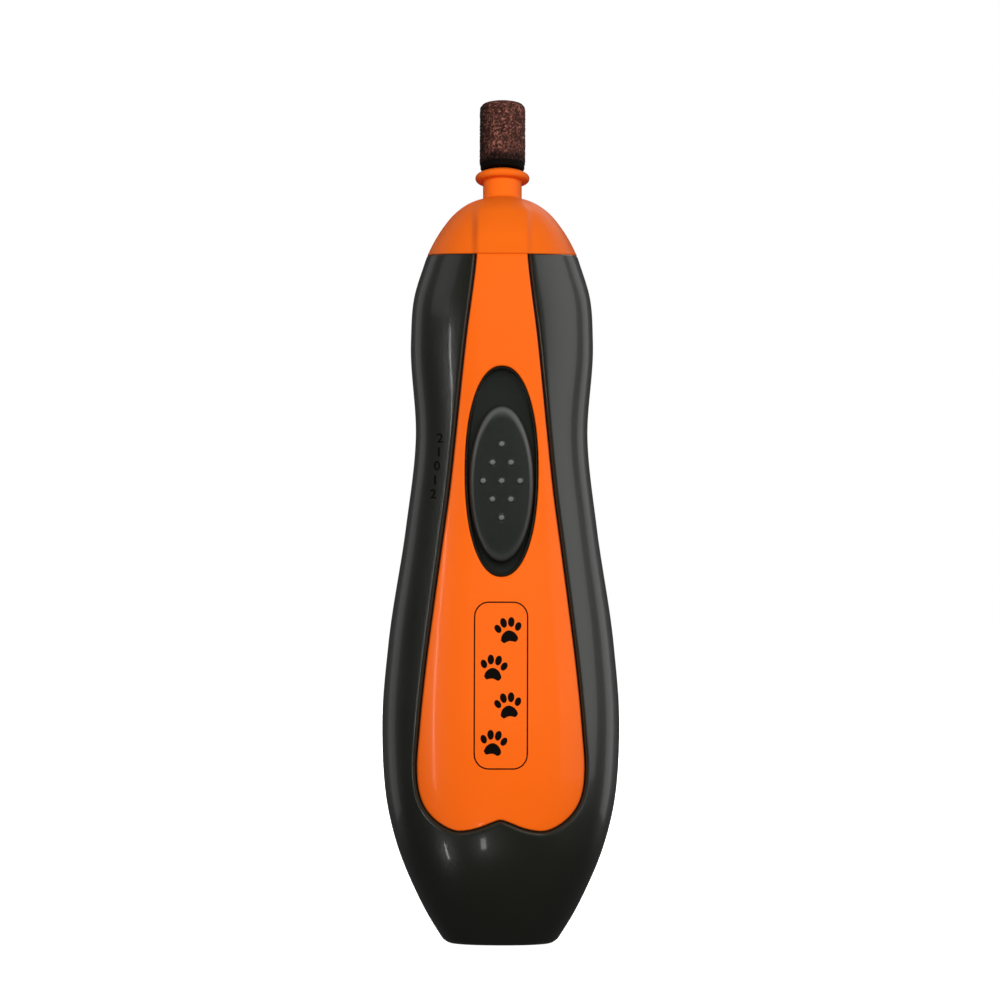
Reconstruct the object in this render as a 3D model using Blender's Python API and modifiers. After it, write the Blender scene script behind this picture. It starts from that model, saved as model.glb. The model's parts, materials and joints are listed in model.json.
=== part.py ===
"""Battery pet nail grinder, modelled standing on its flat base.

+Z runs from the base to the sanding drum, -Y is the front (the switch side) and +X is to the right
seen from the front. The handle stands upright; the nose, the motor and the spindle lean back together
by TILT about a horizontal line. Sizes are written in millimetres and MM turns them into metres.
"""

import math

import bmesh
import bpy
from mathutils import Matrix, Vector

MM = 0.001
GAP = 0.3  # clearance left between two pieces that touch on the real tool

# Driving dimensions of the handle
TOP = 140.55  # height of the seam between the handle shells and the nose cap
WALL = 2.4
PARTING_GAP = 0.3
SQUARENESS = 2.3  # superellipse exponent of the cross section; 2 would be an ellipse
RING_POINTS = 36
HALF_WIDTH = [(0, 11.3), (6, 15.0), (12, 18.0), (18, 20.5), (25, 22.55), (42.5, 24.3), (61, 23.1),
              (85, 19.55), (103, 17.6), (123, 18.65), (132, 18.0), (140.2, 15.5)]
FRONT_DEPTH = [(0, 9.8), (6, 13.8), (12, 17.0), (18, 19.1), (25, 20.3), (42.5, 21.0), (61, 19.5),
               (85, 16.4), (103, 15.7), (120, 15.7), (132, 15.0), (140.2, 13.2)]
BACK_DEPTH = [(0, 9.8), (6, 13.8), (12, 17.0), (18, 19.1), (25, 20.3), (42.5, 21.0), (61, 20.2),
              (85, 17.8), (103, 16.9), (120, 17.6), (132, 17.7), (140.2, 16.5)]
BASE_ROUNDING = 1.0

# The front panel, as half-widths up its outline, from the notch at the bottom to the seam
PANEL_SIDE = [(0.0, 25.9), (1.6, 25.4), (3.8, 24.5), (6.3, 23.8), (8.8, 23.6), (11.4, 24.5), (13.9, 26.3),
              (15.9, 29.0), (16.9, 32.2), (17.2, 35.6), (16.7, 44.1), (15.5, 56.4), (14.0, 68.2),
              (12.35, 80.5), (10.7, 92.7), (9.4, 105.0), (7.5, 123.3), (5.45, 140.2)]
PANEL_RECESS = 1.45
PANEL_THICKNESS = 1.1
PANEL_CLEARANCE = 0.3

# The oval that the switch slides in, and the button
OVAL_CENTRE = 96.4
OVAL_HALF_WIDTH = 7.45
OVAL_HALF_LENGTH = 21.3
OVAL_POWER = 2.2
BEZEL_FLOOR = -13.2  # front face of the recess floor
BEZEL_FLOOR_THICKNESS = 1.2
BUTTON_CENTRE = 93.9
BUTTON_HALF_WIDTH = 6.45
BUTTON_HALF_LENGTH = 15.9
BUTTON_POWER = 2.05
TRAY_WALL = 0.35
BUTTON_FACE = -17.2
STEM_CENTRE = 88.0
SWITCH_STEP = 2.1  # travel from one speed mark to the next
SWITCH_DOWN = 1 * SWITCH_STEP
SWITCH_UP = 3 * SWITCH_STEP
DOT_PITCH = 3.72

# The battery bay
CELL_RADIUS = 7.0
CELL_SPACING = 7.4
BAY_FLOOR = 18.5  # top of the cradle's bottom plate
BAY_CEILING = 73.2
CELL_LENGTH = 48.9
CELL_NUB = 1.1
CONTACT = 0.4
TAG_X = 12.9  # the middle of a battery terminal's solder tag
DOOR_BOTTOM = 18.0
DOOR_TOP = 73.0
DOOR_HALF_WIDTH = 15.4
DOOR_CORNER = 5.0
DOOR_HINGE = (0.0, 19.1, DOOR_BOTTOM)

# The drive, along a line that leans back from the vertical by TILT. Heights along it are measured
# from AXIS_POINT, where it leaves the top of the nose
TILT = math.radians(13.0)
AXIS_POINT = (0.0, 8.0, 152.0)
SPINDLE_RADIUS = 2.0
SOCKET_RADIUS = 1.3
SHANK_RADIUS = 1.17
CARRIER_HALF_WIDTH = 5.2
MOTOR_SCREW_X = 7.0
MOTOR_TOP = -22.0
MOTOR_LENGTH = 31.0
MOTOR_RADIUS = 10.2
MOTOR_HALF_DEPTH = 7.7
CAN_WALL = 0.8
NECK_RADIUS = 4.1
BEAD_RADIUS = 5.6
BEAD_CENTRE = 4.7
BEAD_ROUNDING = 1.75
COLLAR_TOP = BEAD_CENTRE + BEAD_ROUNDING
DRUM_BOTTOM = 6.8
BAND_BOTTOM = 8.05
BAND_LENGTH = 12.7
BAND_RADIUS = 4.75
BAND_WALL = 0.6
DRUM_FLANGE = 4.55  # the rubber drum's foot, which the band rests on

SCREW_PLACES = [(11.6, 133.6), (13.6, 90.0), (8.0, 9.5)]  # distance from the middle, height
SCREW_SEAT = 5.0
ROUND_STEPS = 16
SMALL_STEPS = 12


# Shared tools

def material(name, colour, roughness, metallic=0.0):
    made = bpy.data.materials.new(name)
    made.use_nodes = True
    shader = made.node_tree.nodes["Principled BSDF"]
    shader.inputs["Base Color"].default_value = (*colour, 1.0)
    shader.inputs["Roughness"].default_value = roughness
    shader.inputs["Metallic"].default_value = metallic
    made.diffuse_color = (*colour, 1.0)
    return made


def clear_scene():
    for obj in list(bpy.data.objects):
        bpy.data.objects.remove(obj)
    groups = {}
    for name in ("pet_nail_grinder", "cutters"):
        groups[name] = bpy.data.collections.new(name)
        bpy.context.scene.collection.children.link(groups[name])
    groups["cutters"].hide_render = True
    return groups["pet_nail_grinder"], groups["cutters"]


PARTS, CUTTERS = clear_scene()

ORANGE = material("orange_plastic", (0.92, 0.147, 0.009), 0.35)
GRIP = material("grip_plastic", (0.018, 0.019, 0.016), 0.3)
DARK = material("switch_plastic", (0.03, 0.034, 0.03), 0.45)
BLACK = material("inner_plastic", (0.02, 0.02, 0.02), 0.6)
STEEL = material("steel", (0.6, 0.6, 0.6), 0.3, 1.0)
BRONZE = material("sintered_bronze", (0.45, 0.25, 0.1), 0.45, 1.0)
COPPER = material("copper", (0.8, 0.35, 0.2), 0.35, 1.0)
SPRING_STEEL = material("spring_steel", (0.7, 0.7, 0.68), 0.25, 1.0)
RUBBER = material("rubber", (0.02, 0.02, 0.02), 0.8)
ABRASIVE = material("abrasive", (0.09, 0.035, 0.03), 0.95)
FELT = material("felt", (0.3, 0.3, 0.28), 1.0)
BOARD = material("circuit_board", (0.02, 0.14, 0.05), 0.5)
CELL = material("cell_wrap", (0.02, 0.05, 0.12), 0.3, 0.4)
MAGNET = material("ferrite", (0.05, 0.05, 0.05), 0.7)
RED = material("red_insulation", (0.5, 0.02, 0.02), 0.5)
CERAMIC = material("ceramic", (0.5, 0.35, 0.15), 0.5)


def link(obj, colour=None, parent=None):
    """Puts a piece among the parts, or, with no colour, among the hidden cutters."""
    if colour is None:
        CUTTERS.objects.link(obj)
        obj.hide_render = True
        obj.display_type = "WIRE"
    else:
        PARTS.objects.link(obj)
        obj.data.materials.append(colour)
    obj.parent = parent
    bpy.context.view_layer.update()
    return obj


def from_bmesh(name, bm, colour=None, parent=None):
    bmesh.ops.recalc_face_normals(bm, faces=bm.faces)
    mesh = bpy.data.meshes.new(name)
    bm.to_mesh(mesh)
    bm.free()
    return link(bpy.data.objects.new(name, mesh), colour, parent)


def box(name, low, high, colour=None, parent=None):
    bm = bmesh.new()
    bmesh.ops.create_cube(bm, size=1.0)
    size = [(b - a) * MM for a, b in zip(low, high)]
    middle = [(a + b) / 2 * MM for a, b in zip(low, high)]
    bmesh.ops.scale(bm, vec=size, verts=bm.verts)
    bmesh.ops.translate(bm, vec=middle, verts=bm.verts)
    return from_bmesh(name, bm, colour, parent)


def cylinder(name, radius, start, end, colour=None, parent=None, steps=ROUND_STEPS):
    """A round bar between two points."""
    a, b = Vector(start) * MM, Vector(end) * MM
    turn = (b - a).to_track_quat("Z", "Y").to_matrix().to_4x4()
    bm = bmesh.new()
    bmesh.ops.create_cone(bm, cap_ends=True, segments=steps, radius1=radius * MM, radius2=radius * MM,
                          depth=(b - a).length, matrix=Matrix.Translation((a + b) / 2) @ turn)
    return from_bmesh(name, bm, colour, parent)


def prism(name, outline, low, high, across="Z", colour=None, parent=None):
    """A flat outline pushed from low to high along Z, or along Y where the outline is drawn in X and Z."""
    bm = bmesh.new()
    place = (lambda p, h: (p[0], p[1], h)) if across == "Z" else (lambda p, h: (p[0], h, p[1]))
    foot = [bm.verts.new(Vector(place(p, low)) * MM) for p in outline]
    face = bm.faces.new(foot)
    pushed = bmesh.ops.extrude_face_region(bm, geom=[face])["geom"]
    travel = Vector(place((0, 0), high - low)) * MM
    bmesh.ops.translate(bm, vec=travel, verts=[v for v in pushed if isinstance(v, bmesh.types.BMVert)])
    return from_bmesh(name, bm, colour, parent)


def turned(name, profile, colour=None, parent=None, ring=False, steps=ROUND_STEPS):
    """A profile of (radius, height), down its outer side, turned about Z. A ring's profile closes on itself."""
    mesh = bpy.data.meshes.new(name)
    points = [(r * MM, 0.0, h * MM) for r, h in profile]
    edges = [(i, i + 1) for i in range(len(points) - 1)]
    if ring:
        edges.append((len(points) - 1, 0))
    mesh.from_pydata(points, edges, [])
    obj = link(bpy.data.objects.new(name, mesh), colour, parent)
    screw = obj.modifiers.new("turn", "SCREW")
    screw.steps = screw.render_steps = steps
    screw.use_merge_vertices = True
    screw.merge_threshold = 0.00001
    bake(obj)
    return obj


def washer(name, inner, outer, low, high, colour=None, parent=None, steps=ROUND_STEPS):
    profile = [(inner, high), (outer, high), (outer, low), (inner, low)]
    return turned(name, profile, colour, parent, ring=True, steps=steps)


def loft(name, rings, colour=None, parent=None):
    """A closed skin through rings of points, with both ends filled."""
    bm = bmesh.new()
    rows = [[bm.verts.new(Vector(p) * MM) for p in ring] for ring in rings]
    for below, above in zip(rows, rows[1:]):
        for i in range(len(below)):
            j = (i + 1) % len(below)
            bm.faces.new((below[i], below[j], above[j], above[i]))
    bm.faces.new(reversed(rows[0]))
    bm.faces.new(rows[-1])
    return from_bmesh(name, bm, colour, parent)


def bake(obj):
    """Turns an object's modifiers into its mesh."""
    bpy.context.view_layer.update()
    graph = bpy.context.evaluated_depsgraph_get()
    mesh = bpy.data.meshes.new_from_object(obj.evaluated_get(graph))
    obj.modifiers.clear()
    obj.data = mesh


def combine(obj, other, operation, keep=False):
    """Joins, cuts or intersects obj with other, and removes other unless it is kept."""
    boolean = obj.modifiers.new(operation.lower(), "BOOLEAN")
    boolean.operation = operation
    boolean.object = other
    bake(obj)
    if not keep:
        bpy.data.objects.remove(other)
    return obj


def cut(obj, other, keep=False):
    return combine(obj, other, "DIFFERENCE", keep)


def join(obj, other, keep=False):
    return combine(obj, other, "UNION", keep)


def common(obj, other, keep=False):
    return combine(obj, other, "INTERSECT", keep)


def twin(obj, name, colour=None):
    """A copy with its own mesh: a hidden one with no colour."""
    copy = bpy.data.objects.new(name, obj.data.copy())
    copy.data.materials.clear()
    copy.matrix_world = obj.matrix_world
    return link(copy, colour)


def bevel(obj, width, steps=2, degrees=40.0):
    modifier = obj.modifiers.new("round", "BEVEL")
    modifier.width = width * MM
    modifier.segments = steps
    modifier.limit_method = "ANGLE"
    modifier.angle_limit = math.radians(degrees)
    bake(obj)
    return obj


def tube(name, points, radius, colour, parent=None, sides=1, closed=False):
    """A wire through points, with filled ends."""
    curve = bpy.data.curves.new(name, "CURVE")
    curve.dimensions = "3D"
    curve.bevel_depth = radius * MM
    curve.bevel_resolution = sides
    curve.use_fill_caps = not closed
    spline = curve.splines.new("POLY")
    spline.points.add(len(points) - 1)
    for point, place in zip(spline.points, points):
        point.co = (*(Vector(place) * MM), 1.0)
    spline.use_cyclic_u = closed
    return link(bpy.data.objects.new(name, curve), colour, parent)


def hang(obj, point):
    """Moves an object's origin to a point, with its mesh left where it is."""
    place = Vector(point) * MM
    obj.data.transform(Matrix.Translation(-place))
    obj.location = place
    bpy.context.view_layer.update()


def smooth(stations, at):
    """A value between stations of (position, value), on a smooth curve through them."""
    index = max(i for i, (place, _) in enumerate(stations[:-1]) if place <= at or i == 0)

    def slope(i):
        def rise(k):
            return (stations[k + 1][1] - stations[k][1]) / (stations[k + 1][0] - stations[k][0])
        if i == 0:
            return rise(0)
        if i == len(stations) - 1:
            return rise(i - 1)
        before = stations[i][0] - stations[i - 1][0]
        after = stations[i + 1][0] - stations[i][0]
        return (after * rise(i - 1) + before * rise(i)) / (before + after)

    (low, start), (high, end) = stations[index], stations[index + 1]
    span = high - low
    t = (at - low) / span
    return ((2 * t**3 - 3 * t**2 + 1) * start + (t**3 - 2 * t**2 + t) * span * slope(index)
            + (3 * t**2 - 2 * t**3) * end + (t**3 - t**2) * span * slope(index + 1))


def spline_through(points, steps):
    """Points on a smooth curve through the ones given, with steps between each pair."""
    ends = [2 * Vector(points[0]) - Vector(points[1]), 2 * Vector(points[-1]) - Vector(points[-2])]
    all_points = [ends[0], *[Vector(p) for p in points], ends[1]]
    found = []
    for a, b, c, d in zip(all_points, all_points[1:], all_points[2:], all_points[3:]):
        for step in range(steps):
            t = step / steps
            found.append(0.5 * (2 * b + (c - a) * t + (2 * a - 5 * b + 4 * c - d) * t**2
                                + (3 * b - a - 3 * c + d) * t**3))
    return [tuple(p) for p in [*found, all_points[-2]]]


def superellipse(angle, power):
    """A point on a rounded square of half-size 1."""
    c, s = math.cos(angle), math.sin(angle)
    return (math.copysign(abs(c) ** (2 / power), c), math.copysign(abs(s) ** (2 / power), s))


def oval(half_width, half_length, centre, power=OVAL_POWER, steps=32):
    """An outline in X and Z."""
    corners = [superellipse(2 * math.pi * i / steps, power) for i in range(steps)]
    return [(half_width * x, centre + half_length * z) for x, z in corners]


def rounded_box_outline(half_width, low, high, radius, steps=5):
    """A rectangle with round corners, centred on the first axis."""
    middles = [(half_width - radius, high - radius), (radius - half_width, high - radius),
               (radius - half_width, low + radius), (half_width - radius, low + radius)]
    found = []
    for quarter, (x, z) in enumerate(middles):
        for step in range(steps + 1):
            angle = math.pi / 2 * (quarter + step / steps)
            found.append((x + radius * math.cos(angle), z + radius * math.sin(angle)))
    return found


# The handle's form

def body_ring(height, inset=0.0, lift=None):
    """The handle's cross section at a height, drawn in by inset and placed at lift."""
    width = smooth(HALF_WIDTH, height) - inset
    front = smooth(FRONT_DEPTH, height) - inset
    back = smooth(BACK_DEPTH, height) - inset
    ring = []
    for i in range(RING_POINTS):
        x, y = superellipse(2 * math.pi * i / RING_POINTS, SQUARENESS)
        ring.append((width * x, (back if y > 0 else front) * y, height if lift is None else lift))
    return ring


def body_solid(name, inset, low, high, steps, rounded=False):
    """The handle as a solid, from low to high, every surface drawn in by inset."""
    heights = [low + (high - low) * i / steps for i in range(steps + 1)]
    rings = [body_ring(h, inset) for h in heights]
    if rounded:
        quarter = [math.pi / 4, math.pi / 2]
        edge = [body_ring(low + BASE_ROUNDING * (1 - math.sin(a)), inset + BASE_ROUNDING * (1 - math.cos(a)))
                for a in reversed(quarter)]
        first = body_ring(low + BASE_ROUNDING, inset)
        rings = [*edge, first, *rings[1:]]
    return loft(name, rings)


def panel_outline(shrink=0.0):
    """The front panel's outline in X and Z, drawn in by shrink."""
    points = [Vector(place) for place in PANEL_SIDE]
    points += [Vector((-p.x, p.y)) for p in reversed(points[1:])]
    drawn = []
    for i, p in enumerate(points):
        along = (points[(i + 1) % len(points)] - points[i - 1]).normalized()
        inward = Vector((-along.y, along.x))
        drawn.append(tuple(p + inward * shrink))
    return drawn


def drive_point(across, forward, height):
    """A world point from the drive's own axes: across is X, forward runs towards the back of the tool."""
    c, s = math.cos(TILT), math.sin(TILT)
    return (AXIS_POINT[0] + across, AXIS_POINT[1] + forward * c + height * s,
            AXIS_POINT[2] - forward * s + height * c)


def drive_axis():
    """The empty that every piece on the leaning drive line is placed by."""
    axis = bpy.data.objects.new("drive_axis", None)
    PARTS.objects.link(axis)
    axis.location = Vector(AXIS_POINT) * MM
    axis.rotation_euler = (-TILT, 0.0, 0.0)
    bpy.context.view_layer.update()
    return axis


AXIS = drive_axis()


# The housing

def screw_posts():
    """The six round posts that the shells are screwed together through, inside the handle's walls."""
    posts = None
    for across, height in SCREW_PLACES:
        for side in (-1, 1):
            post = cylinder("post", 2.5, (side * across, -22, height), (side * across, 22, height),
                            steps=SMALL_STEPS)
            posts = post if posts is None else join(posts, post)
    return common(posts, body_solid("middle_of_wall", WALL / 2, 1.2, TOP - 3.6, 11))


def motor_ribs():
    """Two walls across the handle that the motor lies in."""
    ribs = None
    for height in (-30.0, -46.0):
        rib = box("rib", (-20, -30, height - 0.8), (20, 30, height + 0.8), parent=AXIS)
        ribs = rib if ribs is None else join(ribs, rib)
    common(ribs, body_solid("middle_of_wall", WALL / 2, 80, TOP - 3.6, 10))
    clearance = prism("motor_clearance", motor_outline(0.3), MOTOR_TOP - MOTOR_LENGTH - 5, MOTOR_TOP + 5,
                      parent=AXIS)
    return cut(ribs, clearance)


def motor_outline(grow=0.0):
    """The motor can's flattened round section."""
    radius, flat = MOTOR_RADIUS + grow, MOTOR_HALF_DEPTH + grow
    edge = math.asin(flat / radius)
    right = [edge * (i / 4 - 1) for i in range(9)]
    right_side = [(radius * math.cos(a), radius * math.sin(a)) for a in right]
    return right_side + [(-x, -y) for x, y in right_side]


def handle_shells():
    """The front and rear shells and the battery door, all cut from one hollow handle."""
    handle = body_solid("handle", 0.0, 0.0, TOP, 16, rounded=True)
    cut(handle, body_solid("hollow", WALL, 2.2, TOP + 1.0, 9))
    join(handle, screw_posts())
    join(handle, motor_ribs())
    oval_way = prism("oval_way", oval(OVAL_HALF_WIDTH + GAP, OVAL_HALF_LENGTH + GAP, OVAL_CENTRE), -30.0,
                     BEZEL_FLOOR + BEZEL_FLOOR_THICKNESS + 0.5, across="Y")
    cut(handle, oval_way)
    rear = twin(handle, "rear_half")
    front = common(handle, box("front_space", (-40, -40, -5), (40, -PARTING_GAP / 2, 160)))
    rear = common(rear, box("rear_space", (-40, PARTING_GAP / 2, -5), (40, 40, 160)))

    floor = body_solid("recess_floor", PANEL_RECESS, 2.0, TOP + 2.0, 13)
    recess = cut(prism("recess", panel_outline(), -30.0, -4.0, across="Y"), floor)
    cut(front, recess)
    top_of_recess = box("recess_end", (-PANEL_SIDE[-1][0], -20, 139.0), (PANEL_SIDE[-1][0], -11.3, 142.5))
    cut(front, top_of_recess)

    for across, height in SCREW_PLACES:
        for x in (-across, across):
            cut(front, cylinder("pilot", 1.35, (x, -8.0, height), (x, 1.0, height), steps=SMALL_STEPS))
            cut(rear, cylinder("clear_hole", 1.35, (x, -1.0, height), (x, 30, height), steps=SMALL_STEPS))
            cut(rear, cylinder("head_well", 2.35, (x, SCREW_SEAT, height), (x, 30, height)))

    door_way = rounded_box_outline(DOOR_HALF_WIDTH, DOOR_BOTTOM, DOOR_TOP, DOOR_CORNER)
    door_form = rounded_box_outline(DOOR_HALF_WIDTH - GAP, DOOR_BOTTOM + GAP, DOOR_TOP - GAP, DOOR_CORNER - GAP)
    door = twin(rear, "battery_door", GRIP)
    common(door, prism("door_form", door_form, 4.0, 30.0, across="Y"))
    cut(rear, prism("door_way", door_way, 4.0, 30.0, across="Y"))
    hook = box("hook", (-3.0, 14.0, 15.9), (3.0, 15.0, 20.5))
    root = box("hook_root", (-3.0, 14.0, 19.0), (3.0, 17.4, 20.5))
    join(door, join(hook, root))
    for height in (67.0, 64.6, 62.2):
        place = smooth(BACK_DEPTH, height) - 0.1
        cut(door, cylinder("thumb_notch", 0.5, (-6.0, place, height), (6.0, place, height),
                           steps=SMALL_STEPS))
    hang(door, DOOR_HINGE)
    twin(front, "front_shell", GRIP)
    twin(rear, "rear_shell", GRIP)
    bpy.data.objects.remove(front)
    bpy.data.objects.remove(rear)


def front_panel():
    """The tapered orange panel, a thin curved plate with the switch's oval through it."""
    plate = body_solid("plate", 0.0, 5.0, TOP + 1.0, 15)
    cut(plate, body_solid("plate_back", PANEL_THICKNESS, 2.0, TOP + 2.0, 13))
    common(plate, prism("panel_form", panel_outline(PANEL_CLEARANCE), -30.0, -4.0, across="Y"))
    cut(plate, prism("panel_oval", oval(OVAL_HALF_WIDTH, OVAL_HALF_LENGTH, OVAL_CENTRE), -30, 0, across="Y"))
    twin(plate, "front_panel", ORANGE)
    bpy.data.objects.remove(plate)


NOSE_SECTIONS = [  # height, half-width, middle and half-depth front to back, share of the tilt
    (140.85, 15.3, 1.75, 14.7, 0.0),
    (143.6, 13.95, 3.3, 13.4, 0.12),
    (146.7, 12.0, 4.9, 11.6, 0.35),
    (149.0, 10.0, 6.3, 9.8, 0.62),
    (150.5, 8.2, 7.2, 8.1, 0.85),
    (151.4, 6.6, 7.7, 6.5, 0.95),
    (151.9, 5.2, 7.9, 5.2, 1.0),
    (152.1, NECK_RADIUS, 8.0, NECK_RADIUS, 1.0),
]
RIDGE_HALF_WIDTH = 5.4
RIDGE_HEIGHT = 0.6


def nose_ring(section, inset=0.0):
    """One ring of the nose, leaning by its share of the tilt, with the flat ridge down its front."""
    height, width, middle, depth, share = section
    lean = TILT * share
    ring = []
    for i in range(RING_POINTS):
        power = SQUARENESS + (2.0 - SQUARENESS) * share
        x, y = superellipse(2 * math.pi * i / RING_POINTS, power)
        across, along = (width - inset) * x, (depth - inset) * y
        if y < 0 and abs(across) < RIDGE_HALF_WIDTH and inset == 0.0:
            along -= RIDGE_HEIGHT * min(1.0, share * 4)
        ring.append((across, middle + along * math.cos(lean), height - along * math.sin(lean)))
    return ring


def nose_cap():
    """The orange cap over the drive, with its neck, rounded collar and the skirt that plugs into the
    handle."""
    cap = loft("cap", [nose_ring(section) for section in NOSE_SECTIONS])
    neck = turned("neck", [(0, COLLAR_TOP), (3.85, COLLAR_TOP), *bead_arc(),
                           (NECK_RADIUS, 2.2), (NECK_RADIUS, -1.5), (0, -1.5)],
                  parent=AXIS)
    join(cap, neck)
    inner = [(h - 1.9, w, m, d, s) for h, w, m, d, s in NOSE_SECTIONS[:-2]]
    cut(cap, loft("cap_hollow", [nose_ring(section, 2.6) for section in inner]))
    skirt = body_solid("skirt", WALL + 2 * GAP, 137.0, 142.0, 2)
    cut(skirt, body_solid("skirt_hollow", WALL + 2 * GAP + 1.3, 136.0, 143.0, 2))
    join(cap, skirt)
    cut(cap, cylinder("bush_seat", 3.2, (0, 0, -8.0), (0, 0, 4.3), parent=AXIS))
    cut(cap, cylinder("mouth", 2.6, (0, 0, 3.0), (0, 0, COLLAR_TOP + 1.0), parent=AXIS))
    twin(cap, "nose_cap", ORANGE)
    bpy.data.objects.remove(cap)


def bead_arc(steps=6):
    """The round edge of the collar, from its top face over and down to the neck."""
    middle = BEAD_RADIUS - BEAD_ROUNDING
    angles = [math.pi / 2 - math.pi * 0.9 * i / steps for i in range(1, steps + 1)]
    return [(middle + BEAD_ROUNDING * math.cos(a), BEAD_CENTRE + BEAD_ROUNDING * math.sin(a)) for a in angles
            if middle + BEAD_ROUNDING * math.cos(a) > NECK_RADIUS]


def shell_screws():
    """Six screws from the back, with cross-recessed pan heads."""
    profile = [(0, 6.5), (1.4, 6.4), (2.0, 5.9), (2.0, 5.0), (1.1, 5.0), (1.1, -5.5), (0.5, -6.5), (0, -6.5)]
    pattern = turned("screw_pattern", profile, steps=SMALL_STEPS)
    for low, high in (((-1.2, -0.22, 5.6), (1.2, 0.22, 8.0)), ((-0.22, -1.2, 5.6), (0.22, 1.2, 8.0))):
        cut(pattern, box("cross", low, high))
    number = 0
    for across, height in SCREW_PLACES:
        for x in (-across, across):
            number += 1
            screw = bpy.data.objects.new(f"shell_screw_{number}", pattern.data)
            if not pattern.data.materials:
                pattern.data.materials.append(STEEL)
            PARTS.objects.link(screw)
            screw.location = Vector((x, 0.3, height)) * MM
            screw.rotation_euler = (-math.pi / 2, 0.0, 0.0)
    bpy.data.objects.remove(pattern)


# The power switch

def switch_bezel():
    """The dark oval tray that the button slides in."""
    floor_back = BEZEL_FLOOR + BEZEL_FLOOR_THICKNESS
    edge = GAP / 2
    outer = oval(OVAL_HALF_WIDTH - edge, OVAL_HALF_LENGTH - edge, OVAL_CENTRE)
    tray = prism("tray", outer, -20.0, floor_back, across="Y")
    edge += TRAY_WALL
    inner = oval(OVAL_HALF_WIDTH - edge, OVAL_HALF_LENGTH - edge, OVAL_CENTRE)
    cut(tray, prism("tray_hollow", inner, -21.0, BEZEL_FLOOR, across="Y"))
    common(tray, body_solid("tray_top", 0.35, 60.0, 135.0, 14))
    travel = (STEM_CENTRE - 2.7 - SWITCH_DOWN - 0.4, STEM_CENTRE + 2.7 + SWITCH_UP + 0.4)
    cut(tray, box("slot", (-2.8, -16, travel[0]), (2.8, -8, travel[1])))
    twin(tray, "switch_bezel", DARK)
    bpy.data.objects.remove(tray)


def switch_button():
    """The oval thumb button: a domed pad with nine raised dots, on a hollow stem through the tray."""
    rings = []
    for share in (0.0, 0.45, 0.75, 0.92, 1.0):
        shrink = 1.3 * (1 - math.sqrt(max(0.0, 1 - share**2)))
        outline = oval(BUTTON_HALF_WIDTH - shrink, BUTTON_HALF_LENGTH - shrink, BUTTON_CENTRE, BUTTON_POWER)
        rings.append([(x, BUTTON_FACE + 1.5 - 1.5 * share, z) for x, z in outline])
    foot = oval(BUTTON_HALF_WIDTH, BUTTON_HALF_LENGTH, BUTTON_CENTRE, BUTTON_POWER)
    rings.insert(0, [(x, BEZEL_FLOOR - GAP, z) for x, z in foot])
    button = loft("pad", rings)
    for row, count in enumerate((1, 2, 3, 2, 1)):
        for column in range(count):
            x = DOT_PITCH * (column - (count - 1) / 2)
            z = BUTTON_CENTRE + 0.6 + DOT_PITCH * (2 - row)
            dot = cylinder("dot", 0.55, (x, BUTTON_FACE + 0.6, z), (x, BUTTON_FACE - 0.35, z), steps=10)
            join(button, dot)
    stem = box("stem", (-2.5, -15.0, STEM_CENTRE - 2.7), (2.5, -10.3, STEM_CENTRE + 2.7))
    join(button, stem)
    cut(button, box("pocket", (-1.4, -13.0, STEM_CENTRE - 1.9), (1.4, -9.0, STEM_CENTRE + 1.9)))
    hang(twin(button, "switch_button", DARK), (0.0, BEZEL_FLOOR, BUTTON_CENTRE))
    bpy.data.objects.remove(button)


def slide_switch():
    """The slide switch on the board: a metal-framed body, its lever block and the board behind it."""
    middle = STEM_CENTRE + (SWITCH_UP - SWITCH_DOWN) / 2
    body = box("body", (-4.0, -9.6, middle - 7.9), (4.0, -4.6, middle + 7.9))
    cut(body, box("cavity", (-3.0, -12.0, middle - 7.3), (3.0, -6.6, middle + 7.3)))
    cover = box("cover", (-4.0, -9.6, middle - 7.9), (4.0, -9.1, middle + 7.9))
    cut(cover, box("cover_slot", (-1.5, -12, middle - 6.0), (1.5, -6.6, middle + 6.0)))
    join(body, cover)
    twin(body, "slide_switch_body", BLACK)
    bpy.data.objects.remove(body)
    lever = box("lever", (-1.1, -12.6, STEM_CENTRE - 1.6), (1.1, -7.5, STEM_CENTRE + 1.6))
    plate = box("plate", (-2.6, -8.7, STEM_CENTRE - 2.9), (2.6, -7.4, STEM_CENTRE + 2.9))
    join(lever, plate)
    twin(lever, "slide_switch_lever", RED)
    bpy.data.objects.remove(lever)

    board_low, board_high = -4.3, -2.7
    outline = rounded_box_outline(10.4, 76.5, 95.0, 1.0, 3)
    prism("circuit_board", outline, board_low, board_high, across="Y", colour=BOARD)
    cylinder("speed_resistor", 1.1, (-4.0, -1.2, 80.5), (4.0, -1.2, 80.5), CERAMIC, steps=SMALL_STEPS)
    capacitor = cylinder("noise_capacitor", 2.6, (6.0, -2.3, 88.0), (6.0, -0.6, 88.0), CERAMIC)
    bevel(capacitor, 0.4)


# The batteries

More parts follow.
